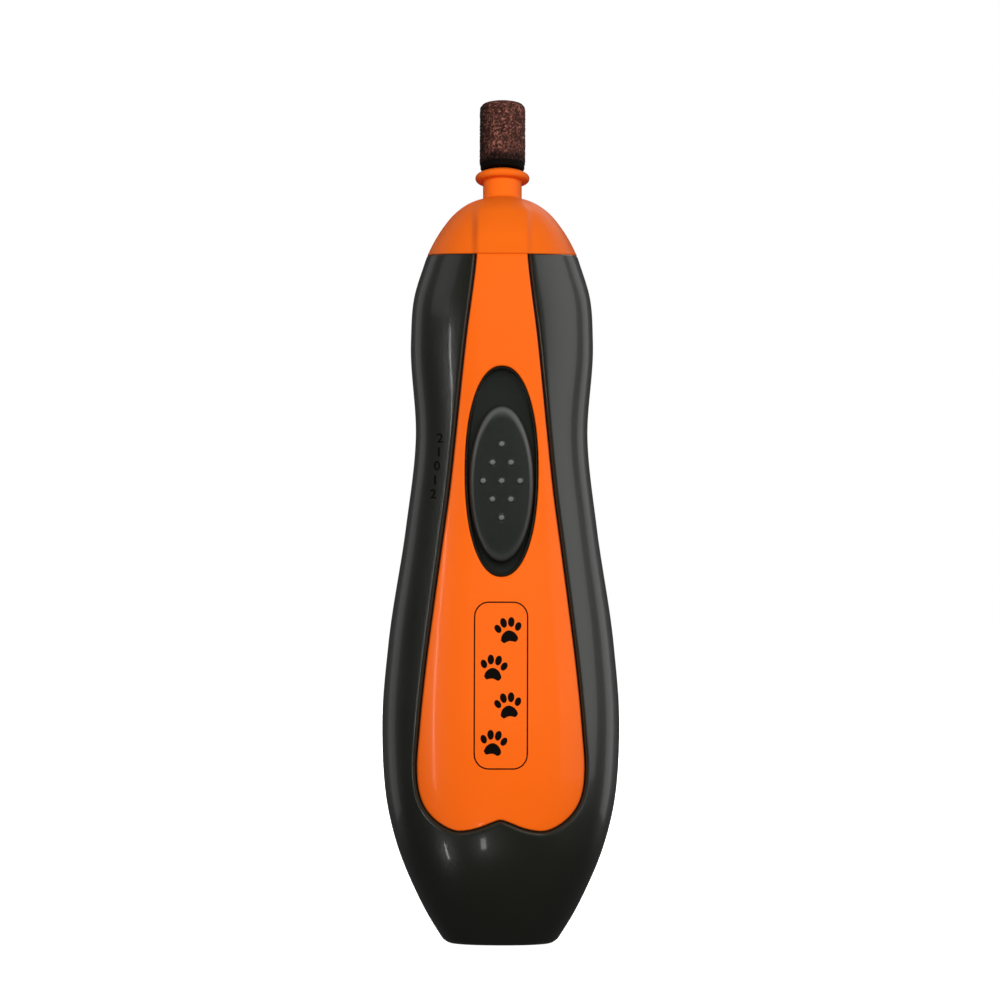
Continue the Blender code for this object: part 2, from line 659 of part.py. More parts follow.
def cells_and_contacts():
    """Four cells two by two, nub up and nub down in turn, each with its coil spring, and the plates
    between."""
    for name, side, row in (("front_left", -1, -1), ("front_right", 1, -1), ("rear_left", -1, 1),
                            ("rear_right", 1, 1)):
        x, y = side * CELL_SPACING, row * CELL_SPACING
        nub_up = side * row > 0
        floor, ceiling = BAY_FLOOR + GAP + CONTACT + GAP, BAY_CEILING - GAP - CONTACT - GAP
        end = ceiling if nub_up else floor
        way = -1 if nub_up else 1
        profile = [(0, 0), (2.7, 0), (2.7, CELL_NUB), (6.3, CELL_NUB), (CELL_RADIUS, CELL_NUB + 0.6),
                   (CELL_RADIUS, CELL_NUB + CELL_LENGTH - 0.4), (6.5, CELL_NUB + CELL_LENGTH),
                   (0, CELL_NUB + CELL_LENGTH)]
        turned_profile = [(r, end + way * h) for r, h in profile]
        if not nub_up:
            turned_profile.reverse()
        cell = turned(f"cell_{name}", turned_profile, CELL, steps=20)
        cell.location = Vector((x, y, 0)) * MM

        flat_end = end + way * (CELL_NUB + CELL_LENGTH)
        foot, tip = (floor, flat_end - GAP) if nub_up else (ceiling, flat_end + GAP)
        coil_spring(f"spring_{name}", x, y, foot, tip)


def coil_spring(name, x, y, foot, tip, turns=2, wire=0.3):
    """A conical contact spring, wide at its foot."""
    way = 1 if tip > foot else -1
    rise = abs(tip - foot) - 2 * wire
    count = 10 * turns
    points = []
    for i in range(count + 1):
        share = i / count
        radius = 4.6 - 2.4 * share
        angle = 2 * math.pi * turns * share
        height = foot + way * (wire + rise * share)
        points.append((x + radius * math.cos(angle), y + radius * math.sin(angle), height))
    tube(name, points, wire, SPRING_STEEL, sides=0)


def contact_plates():
    """The plates that put the four cells in series, and the two end terminals with their tags."""
    low = (BAY_FLOOR + GAP, BAY_FLOOR + GAP + CONTACT)
    high = (BAY_CEILING - GAP - CONTACT, BAY_CEILING - GAP)
    reach = CELL_SPACING + 4.0
    for name, side in (("left", -1), ("right", 1)):
        inner, outer = side * 3.6, side * reach
        x = sorted((inner, outer))
        box(f"bottom_link_{name}", (x[0], -reach, low[0]), (x[1], reach, low[1] - GAP / 2), SPRING_STEEL)
        terminal = box(f"terminal_{name}", (x[0], -reach, high[0] + GAP / 2), (x[1], -3.4, high[1]), SPRING_STEEL)
        ends = sorted((outer - side, side * (TAG_X + 0.4)))
        join(terminal, box("tag", (ends[0], -7.0, high[0] + GAP / 2), (ends[1], -4.0, high[1])))
        middle = side * TAG_X
        join(terminal, box("riser", (middle - 0.4, -6.6, high[0] + GAP / 2), (middle + 0.4, -4.4, 76.4)))
    box("top_link", (-reach, 3.4, high[0] + GAP / 2), (reach, reach, high[1]), SPRING_STEEL)


def battery_cradle():
    """The cage that holds the cells: two end plates on a centre post."""
    def plate(name, low, high):
        return prism(name, [(x, y) for x, y in rounded_box_outline(13.2, -13.2, 13.2, 5.0)], low, high)
    cradle = plate("cradle", BAY_FLOOR - 1.2, BAY_FLOOR)
    join(cradle, plate("ceiling", BAY_CEILING, BAY_CEILING + 1.2))
    join(cradle, cylinder("post", 2.8, (0, 0, BAY_FLOOR - 0.6), (0, 0, BAY_CEILING + 0.6)))
    for side in (-1, 1):
        ends = sorted((side * 12.0, side * 14.4))
        cut(cradle, box("tag_way", (ends[0], -7.4, BAY_CEILING - 1), (ends[1], -3.6, BAY_CEILING + 3)))
    for side in (-1, 1):
        for row in (-1, 1):
            foot = cylinder("foot", 1.4, (side * 3.4, row * 5.5, 2.6), (side * 3.4, row * 5.5, BAY_FLOOR - 0.6),
                            steps=SMALL_STEPS)
            join(cradle, foot)
    twin(cradle, "battery_cradle", BLACK)
    bpy.data.objects.remove(cradle)


# The drive

def motor():
    """The flat-sided direct-current motor: can, end cap, magnets, brushes, armature and shaft."""
    top, bottom = MOTOR_TOP, MOTOR_TOP - MOTOR_LENGTH
    can = prism("motor_can", motor_outline(), bottom, top, colour=STEEL, parent=AXIS)
    cut(can, prism("can_hollow", motor_outline(-CAN_WALL), bottom - 1, top - CAN_WALL, parent=AXIS))
    join(can, cylinder("boss", 3.0, (0, 0, top - 0.4), (0, 0, top + 1.6), parent=AXIS))
    cut(can, cylinder("boss_hole", 1.2, (0, 0, top - 3), (0, 0, top + 3), parent=AXIS, steps=SMALL_STEPS))

    end_cap = prism("motor_end_cap", motor_outline(-CAN_WALL - 0.2), bottom + 0.2, bottom + 2.4, colour=BLACK,
                    parent=AXIS)
    join(end_cap, cylinder("rear_boss", 3.0, (0, 0, bottom + 0.6), (0, 0, bottom - 1.2), parent=AXIS))
    cut(end_cap, cylinder("rear_hole", 1.2, (0, 0, bottom - 3), (0, 0, bottom + 4), parent=AXIS,
                          steps=SMALL_STEPS))
    for side in (-1, 1):
        cut(end_cap, box("tag_slot", (side * 6.0 - 1.3, -0.6, bottom - 2), (side * 6.0 + 1.3, 0.6, bottom + 4),
                         parent=AXIS))

    for name, side in (("left", -1), ("right", 1)):
        angles = [math.radians(42) * (i / 4 - 1) for i in range(9)]
        outline = [(side * 8.9 * math.cos(a), 8.9 * math.sin(a)) for a in angles]
        outline += [(side * 6.3 * math.cos(a), 6.3 * math.sin(a)) for a in reversed(angles)]
        prism(f"motor_magnet_{name}", outline, top - 24.0, top - 2.0, colour=MAGNET, parent=AXIS)
        x = sorted((side * 2.6, side * 7.0))
        tag = box(f"motor_brush_{name}", (x[0], -0.9, bottom + 3.0), (x[1], 0.9, bottom + 5.0), COPPER, AXIS)
        join(tag, box("tag", (side * 6.0 - 1.0, -0.3, bottom - 3.0), (side * 6.0 + 1.0, 0.3, bottom + 4.0),
                      parent=AXIS))

    core_low, core_high = top - 22.0, top - 6.0
    core = prism("armature_core", armature_outline(0.0), core_low, core_high, colour=STEEL, parent=AXIS)
    cut(core, cylinder("core_hole", 1.15, (0, 0, core_low - 1), (0, 0, core_high + 1), parent=AXIS,
                       steps=SMALL_STEPS))
    winding = cylinder("armature_winding", 4.6, (0, 0, core_low - 1.8), (0, 0, core_high + 1.8), COPPER, AXIS)
    cut(winding, prism("core_way", armature_outline(0.18), core_low - 0.15, core_high + 0.15, parent=AXIS))
    cut(winding, cylinder("shaft_way", 1.3, (0, 0, core_low - 4), (0, 0, core_high + 4), parent=AXIS,
                          steps=SMALL_STEPS))
    washer("commutator", 1.15, 2.3, bottom + 2.8, bottom + 5.6, COPPER, AXIS)
    cylinder("motor_shaft", 1.0, (0, 0, bottom - 1.6), (0, 0, -14.2), STEEL, AXIS, steps=SMALL_STEPS)


def armature_outline(grow, poles=3):
    """Three T-shaped poles round a hub."""
    neck, root, tip, spread = 1.2 + grow, 2.2 + grow, 5.7 + grow, math.radians(46)
    shoulder = 4.8 - grow
    outline = []
    for pole in range(poles):
        turn = 2 * math.pi * pole / poles
        half_neck, half_root = math.asin(neck / shoulder), math.asin(neck / root)
        corners = [(root, -half_root), (shoulder, -half_neck), (shoulder, -spread)]
        corners += [(tip, spread * (i / 3 - 1)) for i in range(7)]
        corners += [(shoulder, spread), (shoulder, half_neck), (root, half_root)]
        outline += [(r * math.cos(turn + a), r * math.sin(turn + a)) for r, a in corners]
    return outline


def spindle_and_bearings():
    """The spindle with its socket, the sleeve that couples it to the motor, two bushes and their carrier."""
    profile = [(0, 5.2), (SPINDLE_RADIUS - 0.2, 5.2), (SPINDLE_RADIUS, 5.0), (SPINDLE_RADIUS, -1.6), (2.8, -1.6),
               (2.8, -2.8), (SPINDLE_RADIUS, -2.8), (SPINDLE_RADIUS, -14.0), (0, -14.0)]
    spindle = turned("spindle", profile, STEEL, AXIS)
    cut(spindle, cylinder("socket", SOCKET_RADIUS, (0, 0, -8.6), (0, 0, 7.0), parent=AXIS))
    profile = [(0, -11.5), (3.2, -11.5), (3.6, -12.0), (3.6, -19.0), (3.2, -19.5), (0, -19.5)]
    coupling = turned("coupling_sleeve", profile, RUBBER, AXIS)
    cut(coupling, cylinder("upper_bore", SPINDLE_RADIUS + 0.12, (0, 0, -14.4), (0, 0, -8), parent=AXIS))
    cut(coupling, cylinder("lower_bore", 1.14, (0, 0, -21), (0, 0, -13), parent=AXIS))
    washer("front_bush", SPINDLE_RADIUS + 0.12, 3.05, -1.3, 2.9, BRONZE, AXIS)
    washer("dust_felt", SPINDLE_RADIUS + 0.15, 3.05, 3.1, 4.1, FELT, AXIS)
    washer("rear_bush", SPINDLE_RADIUS + 0.12, 3.0, -10.4, -7.0, BRONZE, AXIS)

    carrier = box("bearing_carrier", (-8.6, -5.6, MOTOR_TOP + 0.2), (8.6, 5.6, MOTOR_TOP + 1.8), BLACK, AXIS)
    for side in (-1, 1):
        x = sorted((side * (CARRIER_HALF_WIDTH - 1.2), side * CARRIER_HALF_WIDTH))
        join(carrier, box("upright", (x[0], -4.0, MOTOR_TOP + 1.0), (x[1], 4.0, -7.0), parent=AXIS))
    bridge = box("bridge", (-CARRIER_HALF_WIDTH, -4.6, -10.8), (CARRIER_HALF_WIDTH, 4.6, -6.7), parent=AXIS)
    join(carrier, bridge)
    cut(carrier, cylinder("bush_way", 3.2, (0, 0, -12), (0, 0, -3), parent=AXIS))
    cut(carrier, cylinder("boss_way", 3.9, (0, 0, MOTOR_TOP - 1), (0, 0, MOTOR_TOP + 3), parent=AXIS))
    for name, side in (("left", -1), ("right", 1)):
        x = side * MOTOR_SCREW_X
        cut(carrier, cylinder("screw_way", 0.95, (x, 0, MOTOR_TOP - 1), (x, 0, MOTOR_TOP + 3), parent=AXIS,
                              steps=SMALL_STEPS))
        cut(bpy.data.objects["motor_can"],
            cylinder("tapped_hole", 0.95, (x, 0, MOTOR_TOP - 2), (x, 0, MOTOR_TOP + 1), parent=AXIS,
                     steps=SMALL_STEPS))
        screw = turned(f"motor_screw_{name}", [(0, 3.2), (1.2, 3.1), (1.5, 2.8), (1.5, 2.0), (0.7, 2.0),
                                               (0.7, -0.9), (0, -0.9)], STEEL, AXIS, steps=SMALL_STEPS)
        screw.location = Vector((x, 0, MOTOR_TOP)) * MM


def sanding_bit():
    """The push-in sanding drum: steel shank, rubber drum, clamp screw and the abrasive band over it."""
    drum_top = BAND_BOTTOM + BAND_LENGTH
    shank_top = DRUM_BOTTOM + 10.0
    shoulder_top, shoulder_foot = DRUM_BOTTOM - 0.3, DRUM_BOTTOM - 0.95
    turned("mandrel_shank", [(0, shank_top), (SHANK_RADIUS, shank_top), (SHANK_RADIUS, shoulder_top),
                             (2.3, shoulder_top), (2.3, shoulder_foot), (SHANK_RADIUS, shoulder_foot),
                             (SHANK_RADIUS, -7.8), (0.7, -8.3), (0, -8.3)], STEEL, AXIS)
    band_inner = BAND_RADIUS - BAND_WALL
    flange_top = BAND_BOTTOM - GAP
    core = turned("rubber_drum", [(0, drum_top - 0.6), (band_inner - 0.5, drum_top - 0.6),
                                  (band_inner - 0.12, drum_top - 1.0), (band_inner - 0.12, flange_top),
                                  (DRUM_FLANGE, flange_top), (DRUM_FLANGE, DRUM_BOTTOM + 0.3),
                                  (DRUM_FLANGE - 0.3, DRUM_BOTTOM), (0, DRUM_BOTTOM)], RUBBER, AXIS, steps=24)
    cut(core, cylinder("drum_bore", SHANK_RADIUS + 0.15, (0, 0, DRUM_BOTTOM - 1), (0, 0, drum_top + 1),
                       parent=AXIS))
    screw = turned("clamp_screw", [(0, drum_top + 0.5), (2.2, drum_top + 0.4), (2.6, drum_top),
                                   (2.6, drum_top - 0.35),
                                   (1.0, drum_top - 0.35), (1.0, shank_top + 0.3), (0, shank_top + 0.3)],
                   STEEL, AXIS)
    cut(screw, box("driver_slot", (-3.0, -0.3, drum_top - 0.1), (3.0, 0.3, drum_top + 1), parent=AXIS))
    washer("sanding_band", band_inner, BAND_RADIUS, BAND_BOTTOM, drum_top, ABRASIVE, AXIS, steps=24)


# The wiring

def wiring():
    """Two leads from the battery terminals to the board, and two from the board to the motor."""
    for name, side, colour in (("red", 1, RED), ("black", -1, BLACK)):
        route = [(side * TAG_X, -5.5, 76.9), (side * TAG_X, -5.7, 79.0), (side * 11.6, -6.4, 81.5),
                 (side * 9.4, -6.2, 83.0),
                 (side * 8.2, -5.1, 83.2)]
        tube(f"battery_lead_{name}", spline_through(route, 3), 0.55, colour, sides=1)
        tag = drive_point(side * 6.0, 0.0, MOTOR_TOP - MOTOR_LENGTH - 3.8)
        route = [(side * 8.2, -5.1, 88.0), (side * 8.6, -6.0, 90.0), (side * 8.4, -6.3, 92.5), tag]
        tube(f"motor_lead_{name}", spline_through(route, 3), 0.5, colour, sides=1)


def round_faces():
    """Shades every mesh smooth between its sharp edges."""
    for obj in PARTS.objects:
        if obj.type == "MESH":
            obj.data.shade_smooth()
            obj.data.set_sharp_from_angle(angle=math.radians(32))


def main():
    handle_shells()
    front_panel()
    nose_cap()
    shell_screws()
    switch_bezel()
    switch_button()
    slide_switch()
    battery_cradle()
    cells_and_contacts()
    contact_plates()
    motor()
    spindle_and_bearings()
    sanding_bit()
    wiring()
    round_faces()


main()
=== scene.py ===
"""Battery pet nail grinder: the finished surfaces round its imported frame.

+Z runs from the base to the sanding drum and -Y is the switch side. Forms are worked out in millimetres
and MM turns them into metres. The tables of the handle, the panel and the nose are the frame's own.
"""

import json
import math

import bmesh
import bpy
from bpy.props import FloatProperty, FloatVectorProperty, PointerProperty
from mathutils import Matrix, Vector, noise

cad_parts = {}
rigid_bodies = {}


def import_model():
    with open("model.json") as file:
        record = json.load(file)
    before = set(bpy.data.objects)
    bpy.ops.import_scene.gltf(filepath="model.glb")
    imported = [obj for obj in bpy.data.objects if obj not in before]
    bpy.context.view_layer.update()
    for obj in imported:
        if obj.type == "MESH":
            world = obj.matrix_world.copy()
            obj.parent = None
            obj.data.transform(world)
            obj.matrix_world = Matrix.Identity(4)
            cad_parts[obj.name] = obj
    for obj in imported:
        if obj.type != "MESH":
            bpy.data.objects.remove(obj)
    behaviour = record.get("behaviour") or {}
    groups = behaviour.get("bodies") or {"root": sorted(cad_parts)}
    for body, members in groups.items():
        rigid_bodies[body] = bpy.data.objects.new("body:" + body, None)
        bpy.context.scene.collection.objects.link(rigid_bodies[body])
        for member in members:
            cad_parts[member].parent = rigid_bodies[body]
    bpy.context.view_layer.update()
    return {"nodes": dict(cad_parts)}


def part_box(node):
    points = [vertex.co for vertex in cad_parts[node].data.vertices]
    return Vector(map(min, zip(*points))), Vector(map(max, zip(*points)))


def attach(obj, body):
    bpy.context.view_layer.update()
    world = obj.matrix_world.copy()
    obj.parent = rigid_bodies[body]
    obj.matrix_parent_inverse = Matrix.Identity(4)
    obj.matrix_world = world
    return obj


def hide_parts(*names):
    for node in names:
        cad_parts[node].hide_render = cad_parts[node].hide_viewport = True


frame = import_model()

bl_info = {
    "name": "Pet Nail Grinder",
    "version": (1, 0, 0),
    "blender": (4, 5, 0),
    "location": "3D View > Sidebar > Grinder",
    "description": "Builds a battery pet nail grinder round its frame",
    "category": "Object",
}

MM = 0.001
UP = Vector((0.0, 0.0, 1.0))

# The handle: (height, size) from the base to the nose
TOP = 140.55
WALL = 2.4
SQUARENESS = 2.3  # of the cross section; 2 would be an ellipse
HALF_WIDTH = [(0, 11.3), (6, 15.0), (12, 18.0), (18, 20.5), (25, 22.55), (42.5, 24.3), (61, 23.1),
              (85, 19.55), (103, 17.6), (123, 18.65), (132, 18.0), (140.2, 15.5)]
FRONT_DEPTH = [(0, 9.8), (6, 13.8), (12, 17.0), (18, 19.1), (25, 20.3), (42.5, 21.0), (61, 19.5),
               (85, 16.4), (103, 15.7), (120, 15.7), (132, 15.0), (140.2, 13.2)]
BACK_DEPTH = [(0, 9.8), (6, 13.8), (12, 17.0), (18, 19.1), (25, 20.3), (42.5, 21.0), (61, 20.2),
              (85, 17.8), (103, 16.9), (120, 17.6), (132, 17.7), (140.2, 16.5)]
FRONT, BACK = -1, 1

# The front panel's outline, (distance from the middle, height), from the notch to the nose
PANEL_SIDE = [(0.0, 25.9), (1.6, 25.4), (3.8, 24.5), (6.3, 23.8), (8.8, 23.6), (11.4, 24.5), (13.9, 26.3),
              (15.9, 29.0), (16.9, 32.2), (17.2, 35.6), (16.7, 44.1), (15.5, 56.4), (14.0, 68.2),
              (12.35, 80.5), (10.7, 92.7), (9.4, 105.0), (7.5, 123.3), (5.45, 140.2)]
PANEL_UNDER_NOSE = (5.35, 141.5)  # where the outline is heading behind the nose's skirt
PANEL_RECESS = 1.45
PANEL_THICKNESS = 1.1
LOBE_TOP = 35.6  # above this the panel's sides run straight up the handle

# The switch
OVAL_CENTRE = 96.4
OVAL_HALF_WIDTH = 7.45
OVAL_HALF_LENGTH = 21.3
OVAL_POWER = 2.2
TRAY_FLOOR = -13.2
BUTTON_CENTRE = 93.9
BUTTON_HALF_WIDTH = 6.45
BUTTON_HALF_LENGTH = 15.9
BUTTON_POWER = 2.05
BUTTON_FACE = -17.2
BUTTON_ROUNDING = 1.15
BUTTON_CROWN = 0.5  # how far the face swells
CROWN_POWER = 2.4
STEM_CENTRE = 88.0
STEM_HALF_LENGTH = 2.7
SWITCH_DOWN = 2.1
SWITCH_UP = 6.3
DOT_ROWS = (1, 2, 3, 2, 1)

# The battery door
DOOR_BOTTOM = 18.0
DOOR_TOP = 73.0
DOOR_HALF_WIDTH = 15.4
DOOR_CORNER = 5.0

# The nose, (height, half-width, middle and half-depth front to back, share of the lean)
NOSE_SECTIONS = [(140.8, 15.3, 1.75, 14.7, 0.0), (143.6, 13.95, 3.3, 13.4, 0.12),
                 (146.7, 12.0, 4.9, 11.6, 0.35), (149.0, 10.1, 6.3, 9.85, 0.62),
                 (150.5, 8.2, 7.2, 8.1, 0.85), (151.3, 6.7, 7.7, 6.6, 0.95),
                 (151.8, 5.2, 7.9, 5.2, 1.0), (152.15, 4.25, 8.0, 4.25, 1.0)]
RIDGE_HALF_WIDTH = 5.4
RIDGE_HEIGHT = 0.9

# The drive line leans back from the vertical by LEAN, about the point where it leaves the nose
LEAN = math.radians(13.0)
DRIVE_POINT = (0.0, 8.0, 152.0)
NECK_RADIUS = 4.0
COLLAR_RADIUS = 5.6
COLLAR_CENTRE = 5.1
COLLAR_ROUNDING = 0.82
COLLAR_TOP = 6.45
SHOULDER_TOP = 6.5  # of the shank's flange, under the rubber drum
DRUM_BOTTOM = 6.8
DRUM_FLANGE = 4.55  # radius of the drum's foot, which the band rests on
BAND_BOTTOM = 8.05
BAND_TOP = 20.75
BAND_RADIUS = 4.75
BAND_WALL = 0.6
SHANK_RADIUS = 1.17

SCREW_PLACES = [(11.6, 133.6), (13.6, 90.0), (8.0, 9.5)]  # distance from the middle, height
SCREW_SEAT = 5.0
WELL_RADIUS = 2.35
CELL_RADIUS = 7.0
CELL_SPACING = 7.4


# The settings a user would change

def length(name, description, default, low=0.0, high=1.0):
    return FloatProperty(name=name, description=description, default=default, min=low, max=high,
                         subtype="DISTANCE", unit="LENGTH", precision=5)


def colour(name, description, default):
    return FloatVectorProperty(name=name, description=description, default=default, size=3, min=0.0, max=1.0,
                               subtype="COLOR")


class GrinderColours(bpy.types.PropertyGroup):
    """The colours of the moulded, rubbed and printed surfaces."""

    panel: colour("Panel and nose", "Glossy orange of the front panel and the nose", (0.90, 0.132, 0.005))
    casing: colour("Casing", "Dark plastic of the casing and the battery door", (0.0085, 0.0094, 0.0062))
    button: colour("Button", "Charcoal of the thumb button", (0.0135, 0.0155, 0.013))
    tray: colour("Switch tray", "Plastic of the recess round the button", (0.012, 0.0135, 0.011))
    ink: colour("Print", "Ink of the frame, the paw prints and the speed figures", (0.003, 0.0022, 0.0018))
    grit: colour("Grit", "Average colour of the abrasive grains", (0.105, 0.038, 0.028))


class GrinderSizes(bpy.types.PropertyGroup):
    """The small sizes that set how crisp the pieces look."""

    seam: length("Casing seam", "Width of the seam between the casing halves", 0.00012, 0.00005, 0.0003)
    seam_rounding: length("Seam rounding", "Radius of the casing's edges at seams", 0.0003, 0.0001, 0.0006)
    lip: length("Casing lip", "Radius of the rolled lip round the front panel", 0.0009, 0.0003, 0.0014)
    panel_gap: length("Panel gap", "Gap between the front panel and the casing's lip", 0.0003, 0.0001, 0.0005)
    panel_edge: length("Panel edge", "Radius of the front panel's edge", 0.00035, 0.0001, 0.0008)
    base_rounding: length("Base rounding", "Radius where the handle meets its base", 0.0012, 0.0005, 0.0016)
    dot_radius: length("Dot radius", "Radius of each grip dot on the button", 0.00058, 0.0003, 0.001)
    dot_height: length("Dot height", "How far a grip dot stands up", 0.00042, 0.0001, 0.0006)
    grit_height: length("Grit height", "How far the abrasive grains stand up", 0.0002, 0.0, 0.0003)
    print_line: length("Print line", "Width of the printed frame's line", 0.00028, 0.0001, 0.001)


class GrinderStage(bpy.types.PropertyGroup):
    """The camera, the floor and the lights."""

    camera_height: length("Camera height", "Height of the camera above the floor", 0.0906)
    camera_distance: length("Camera distance", "From the camera to the handle's middle", 1.144, 0.2, 4.0)
    camera_side: length("Camera side", "How far the camera stands to the right", -0.0003, -1.0, 1.0)
    camera_roll: FloatProperty(name="Camera roll", description="How far the camera is tipped to its left",
                               default=math.radians(-0.17), subtype="ANGLE", unit="ROTATION")
    lens: FloatProperty(name="Lens", description="Focal length of the camera", default=201.0, min=20.0,
                        max=400.0, subtype="DISTANCE_CAMERA", unit="CAMERA")
    key: FloatProperty(name="Key light", description="Strength of the light above the camera", default=20.0,
                       min=0.0, unit="POWER")
    side: FloatProperty(name="Side lights", description="Strength of the lights high on both sides",
                        default=0.28, min=0.0, unit="POWER")
    strip: FloatProperty(name="Strip light", description="Strength of the thin light low on the left",
                         default=0.045, min=0.0, unit="POWER")
    back: FloatProperty(name="Back lights", description="Strength of the lights behind the tool",
                        default=1.0, min=0.0, unit="POWER")


# Forms

def smooth(stations, at):
    """A value between stations of (position, value), on a smooth curve through them."""
    index = max(i for i, (place, _) in enumerate(stations[:-1]) if place <= at or i == 0)

    def slope(i):
        def rise(k):
            return (stations[k + 1][1] - stations[k][1]) / (stations[k + 1][0] - stations[k][0])
        if i == 0:
            return rise(0)
        if i == len(stations) - 1:
            return rise(i - 1)
        before = stations[i][0] - stations[i - 1][0]
        after = stations[i + 1][0] - stations[i][0]
        return (after * rise(i - 1) + before * rise(i)) / (before + after)

    (low, start), (high, end) = stations[index], stations[index + 1]
    span = high - low
    t = (at - low) / span
    return ((2 * t**3 - 3 * t**2 + 1) * start + (t**3 - 2 * t**2 + t) * span * slope(index)
            + (3 * t**2 - 2 * t**3) * end + (t**3 - t**2) * span * slope(index + 1))


def fade(value, start, end):
    """0 at start and 1 at end, smooth between and flat beyond."""
    t = max(0.0, min(1.0, (value - start) / (end - start)))
    return t * t * (3 - 2 * t)


def mixed(a, b, t):
    return a + (b - a) * t


def quarter(radius, steps):
    """A quarter round as (along, down): from the surface's own edge line down to the side below it."""
    angles = [math.pi / 2 * i / steps for i in range(steps + 1)]
    return [(radius * math.sin(a), radius * (1 - math.cos(a))) for a in angles]


def ring_angles(count):
    return [2 * math.pi * i / count for i in range(count)]


def along(points, count):
    """count points evenly spaced on a line of points, both ends kept."""
    reach = [0.0]
    for a, b in zip(points, points[1:]):
        reach.append(reach[-1] + math.dist(a, b))
    found, index = [], 0
    for i in range(count):
        wanted = reach[-1] * i / (count - 1)
        while index < len(points) - 2 and reach[index + 1] < wanted:
            index += 1
        span = reach[index + 1] - reach[index]
        t = (wanted - reach[index]) / span if span else 0.0
        found.append(tuple(mixed(a, b, t) for a, b in zip(points[index], points[index + 1])))
    return found


def smooth_line(points, steps):
    """A line of points made finer, on a smooth curve through the ones given."""
    reach = [0.0]
    for a, b in zip(points, points[1:]):
        reach.append(reach[-1] + math.dist(a, b))
    axes = [[(r, p[axis]) for r, p in zip(reach, points)] for axis in range(len(points[0]))]
    places = []
    for a, b in zip(reach, reach[1:]):
        places += [mixed(a, b, i / steps) for i in range(steps)]
    places.append(reach[-1])
    return [tuple(smooth(axis, place) for axis in axes) for place in places]


def pushed(points, distance, closed=False):
    """A line in X and Z moved sideways, to the right of its way. Its direction is read over a few
    neighbours, so that a tight bend doesn't fold."""
    reach = 3
    count = len(points)
    moved = []
    for i, p in enumerate(points):
        before = points[(i - reach) % count] if closed else points[max(0, i - reach)]
        after = points[(i + reach) % count] if closed else points[min(count - 1, i + reach)]
        way = Vector((after[0] - before[0], after[1] - before[1])).normalized()
        moved.append((p[0] + way.y * distance, p[1] - way.x * distance))
    return moved


def section(height, side, inset=0.0):
    """Half-width and depth of the handle at a height."""
    depth = FRONT_DEPTH if side == FRONT else BACK_DEPTH
    return smooth(HALF_WIDTH, height) - inset, smooth(depth, height) - inset


def on_face(side, x, z, inset=0.0):
    """The point of the handle's surface over (x, z)."""
    width, depth = section(z, side, inset)
    part = min(1.0, abs(x) / width)
    return (x, side * depth * (1 - part**SQUARENESS) ** (1 / SQUARENESS), z)


def turn_of(x, z):
    """Where x lies round the handle, from 0 at the left seam to pi at the right one."""
    part = min(1.0, abs(x) / smooth(HALF_WIDTH, z)) ** (SQUARENESS / 2)
    return math.acos(math.copysign(part, -x))


def on_turn(side, turn, z, inset=0.0, least=0.0):
    """The point of the handle's surface at a turn, kept at least this far from the seam's plane."""
    width, depth = section(z, side, inset)
    c, s = math.cos(turn), max(0.0, math.sin(turn))
    x = -math.copysign(width * abs(c) ** (2 / SQUARENESS), c)
    y = max(depth * s ** (2 / SQUARENESS), least)
    return (x, side * y, z)


def superellipse(angle, power):
    """A point on a rounded square of half-size 1."""
    c, s = math.cos(angle), math.sin(angle)
    return (math.copysign(abs(c) ** (2 / power), c), math.copysign(abs(s) ** (2 / power), s))


def oval_ray(way, half_width, half_length, power):
    """How far an oval's edge is from its middle, along a direction."""
    size = (abs(way[0]) / half_width) ** power + (abs(way[1]) / half_length) ** power
    return size ** (-1 / power)


def drive_point(x, forward, height):
    """A point by the leaning drive line's own axes."""
    c, s = math.cos(LEAN), math.sin(LEAN)
    return (DRIVE_POINT[0] + x, DRIVE_POINT[1] + forward * c + height * s,
            DRIVE_POINT[2] - forward * s + height * c)


def drive_ring(radius, height, count):
    return [drive_point(radius * math.cos(a), radius * math.sin(a), height) for a in ring_angles(count)]


# Meshes

LEAST_RADIUS = 0.0005  # a turned profile keeps this far from its axis, so that its ends are faces


def to_object(name, bm, sharp=38.0):
    """A welded mesh object, shaded smooth between its sharp edges."""
    bmesh.ops.remove_doubles(bm, verts=bm.verts, dist=0.000002)
    bmesh.ops.dissolve_degenerate(bm, edges=bm.edges, dist=0.0000005)
    bmesh.ops.recalc_face_normals(bm, faces=bm.faces)
    mesh = bpy.data.meshes.new(name)
    bm.to_mesh(mesh)
    bm.free()
    mesh.shade_smooth()
    mesh.set_sharp_from_angle(angle=math.radians(sharp))
    obj = bpy.data.objects.new(name, mesh)
    bpy.context.scene.collection.objects.link(obj)
    return obj


def add_skin(bm, loops, ends="open", closed=True):
    """Faces through loops of points, all with as many points. The ends are open, filled, or joined."""
    rows = [[bm.verts.new(Vector(p) * MM) for p in loop] for loop in loops]
    pairs = list(zip(rows, rows[1:]))
    if ends == "joined":
        pairs.append((rows[-1], rows[0]))
    for low, high in pairs:
        for i in range(len(low) if closed else len(low) - 1):
            j = (i + 1) % len(low)
            bm.faces.new((low[i], low[j], high[j], high[i]))
    if ends == "filled":
        bm.faces.new(reversed(rows[0]))
        bm.faces.new(rows[-1])


def skin(name, loops, ends="open", sharp=38.0):
    bm = bmesh.new()
    add_skin(bm, loops, ends)
    return to_object(name, bm, sharp)


def add_cap(bm, loop):
    """One face over a whole loop of points."""
    bm.faces.new([bm.verts.new(Vector(p) * MM) for p in loop])


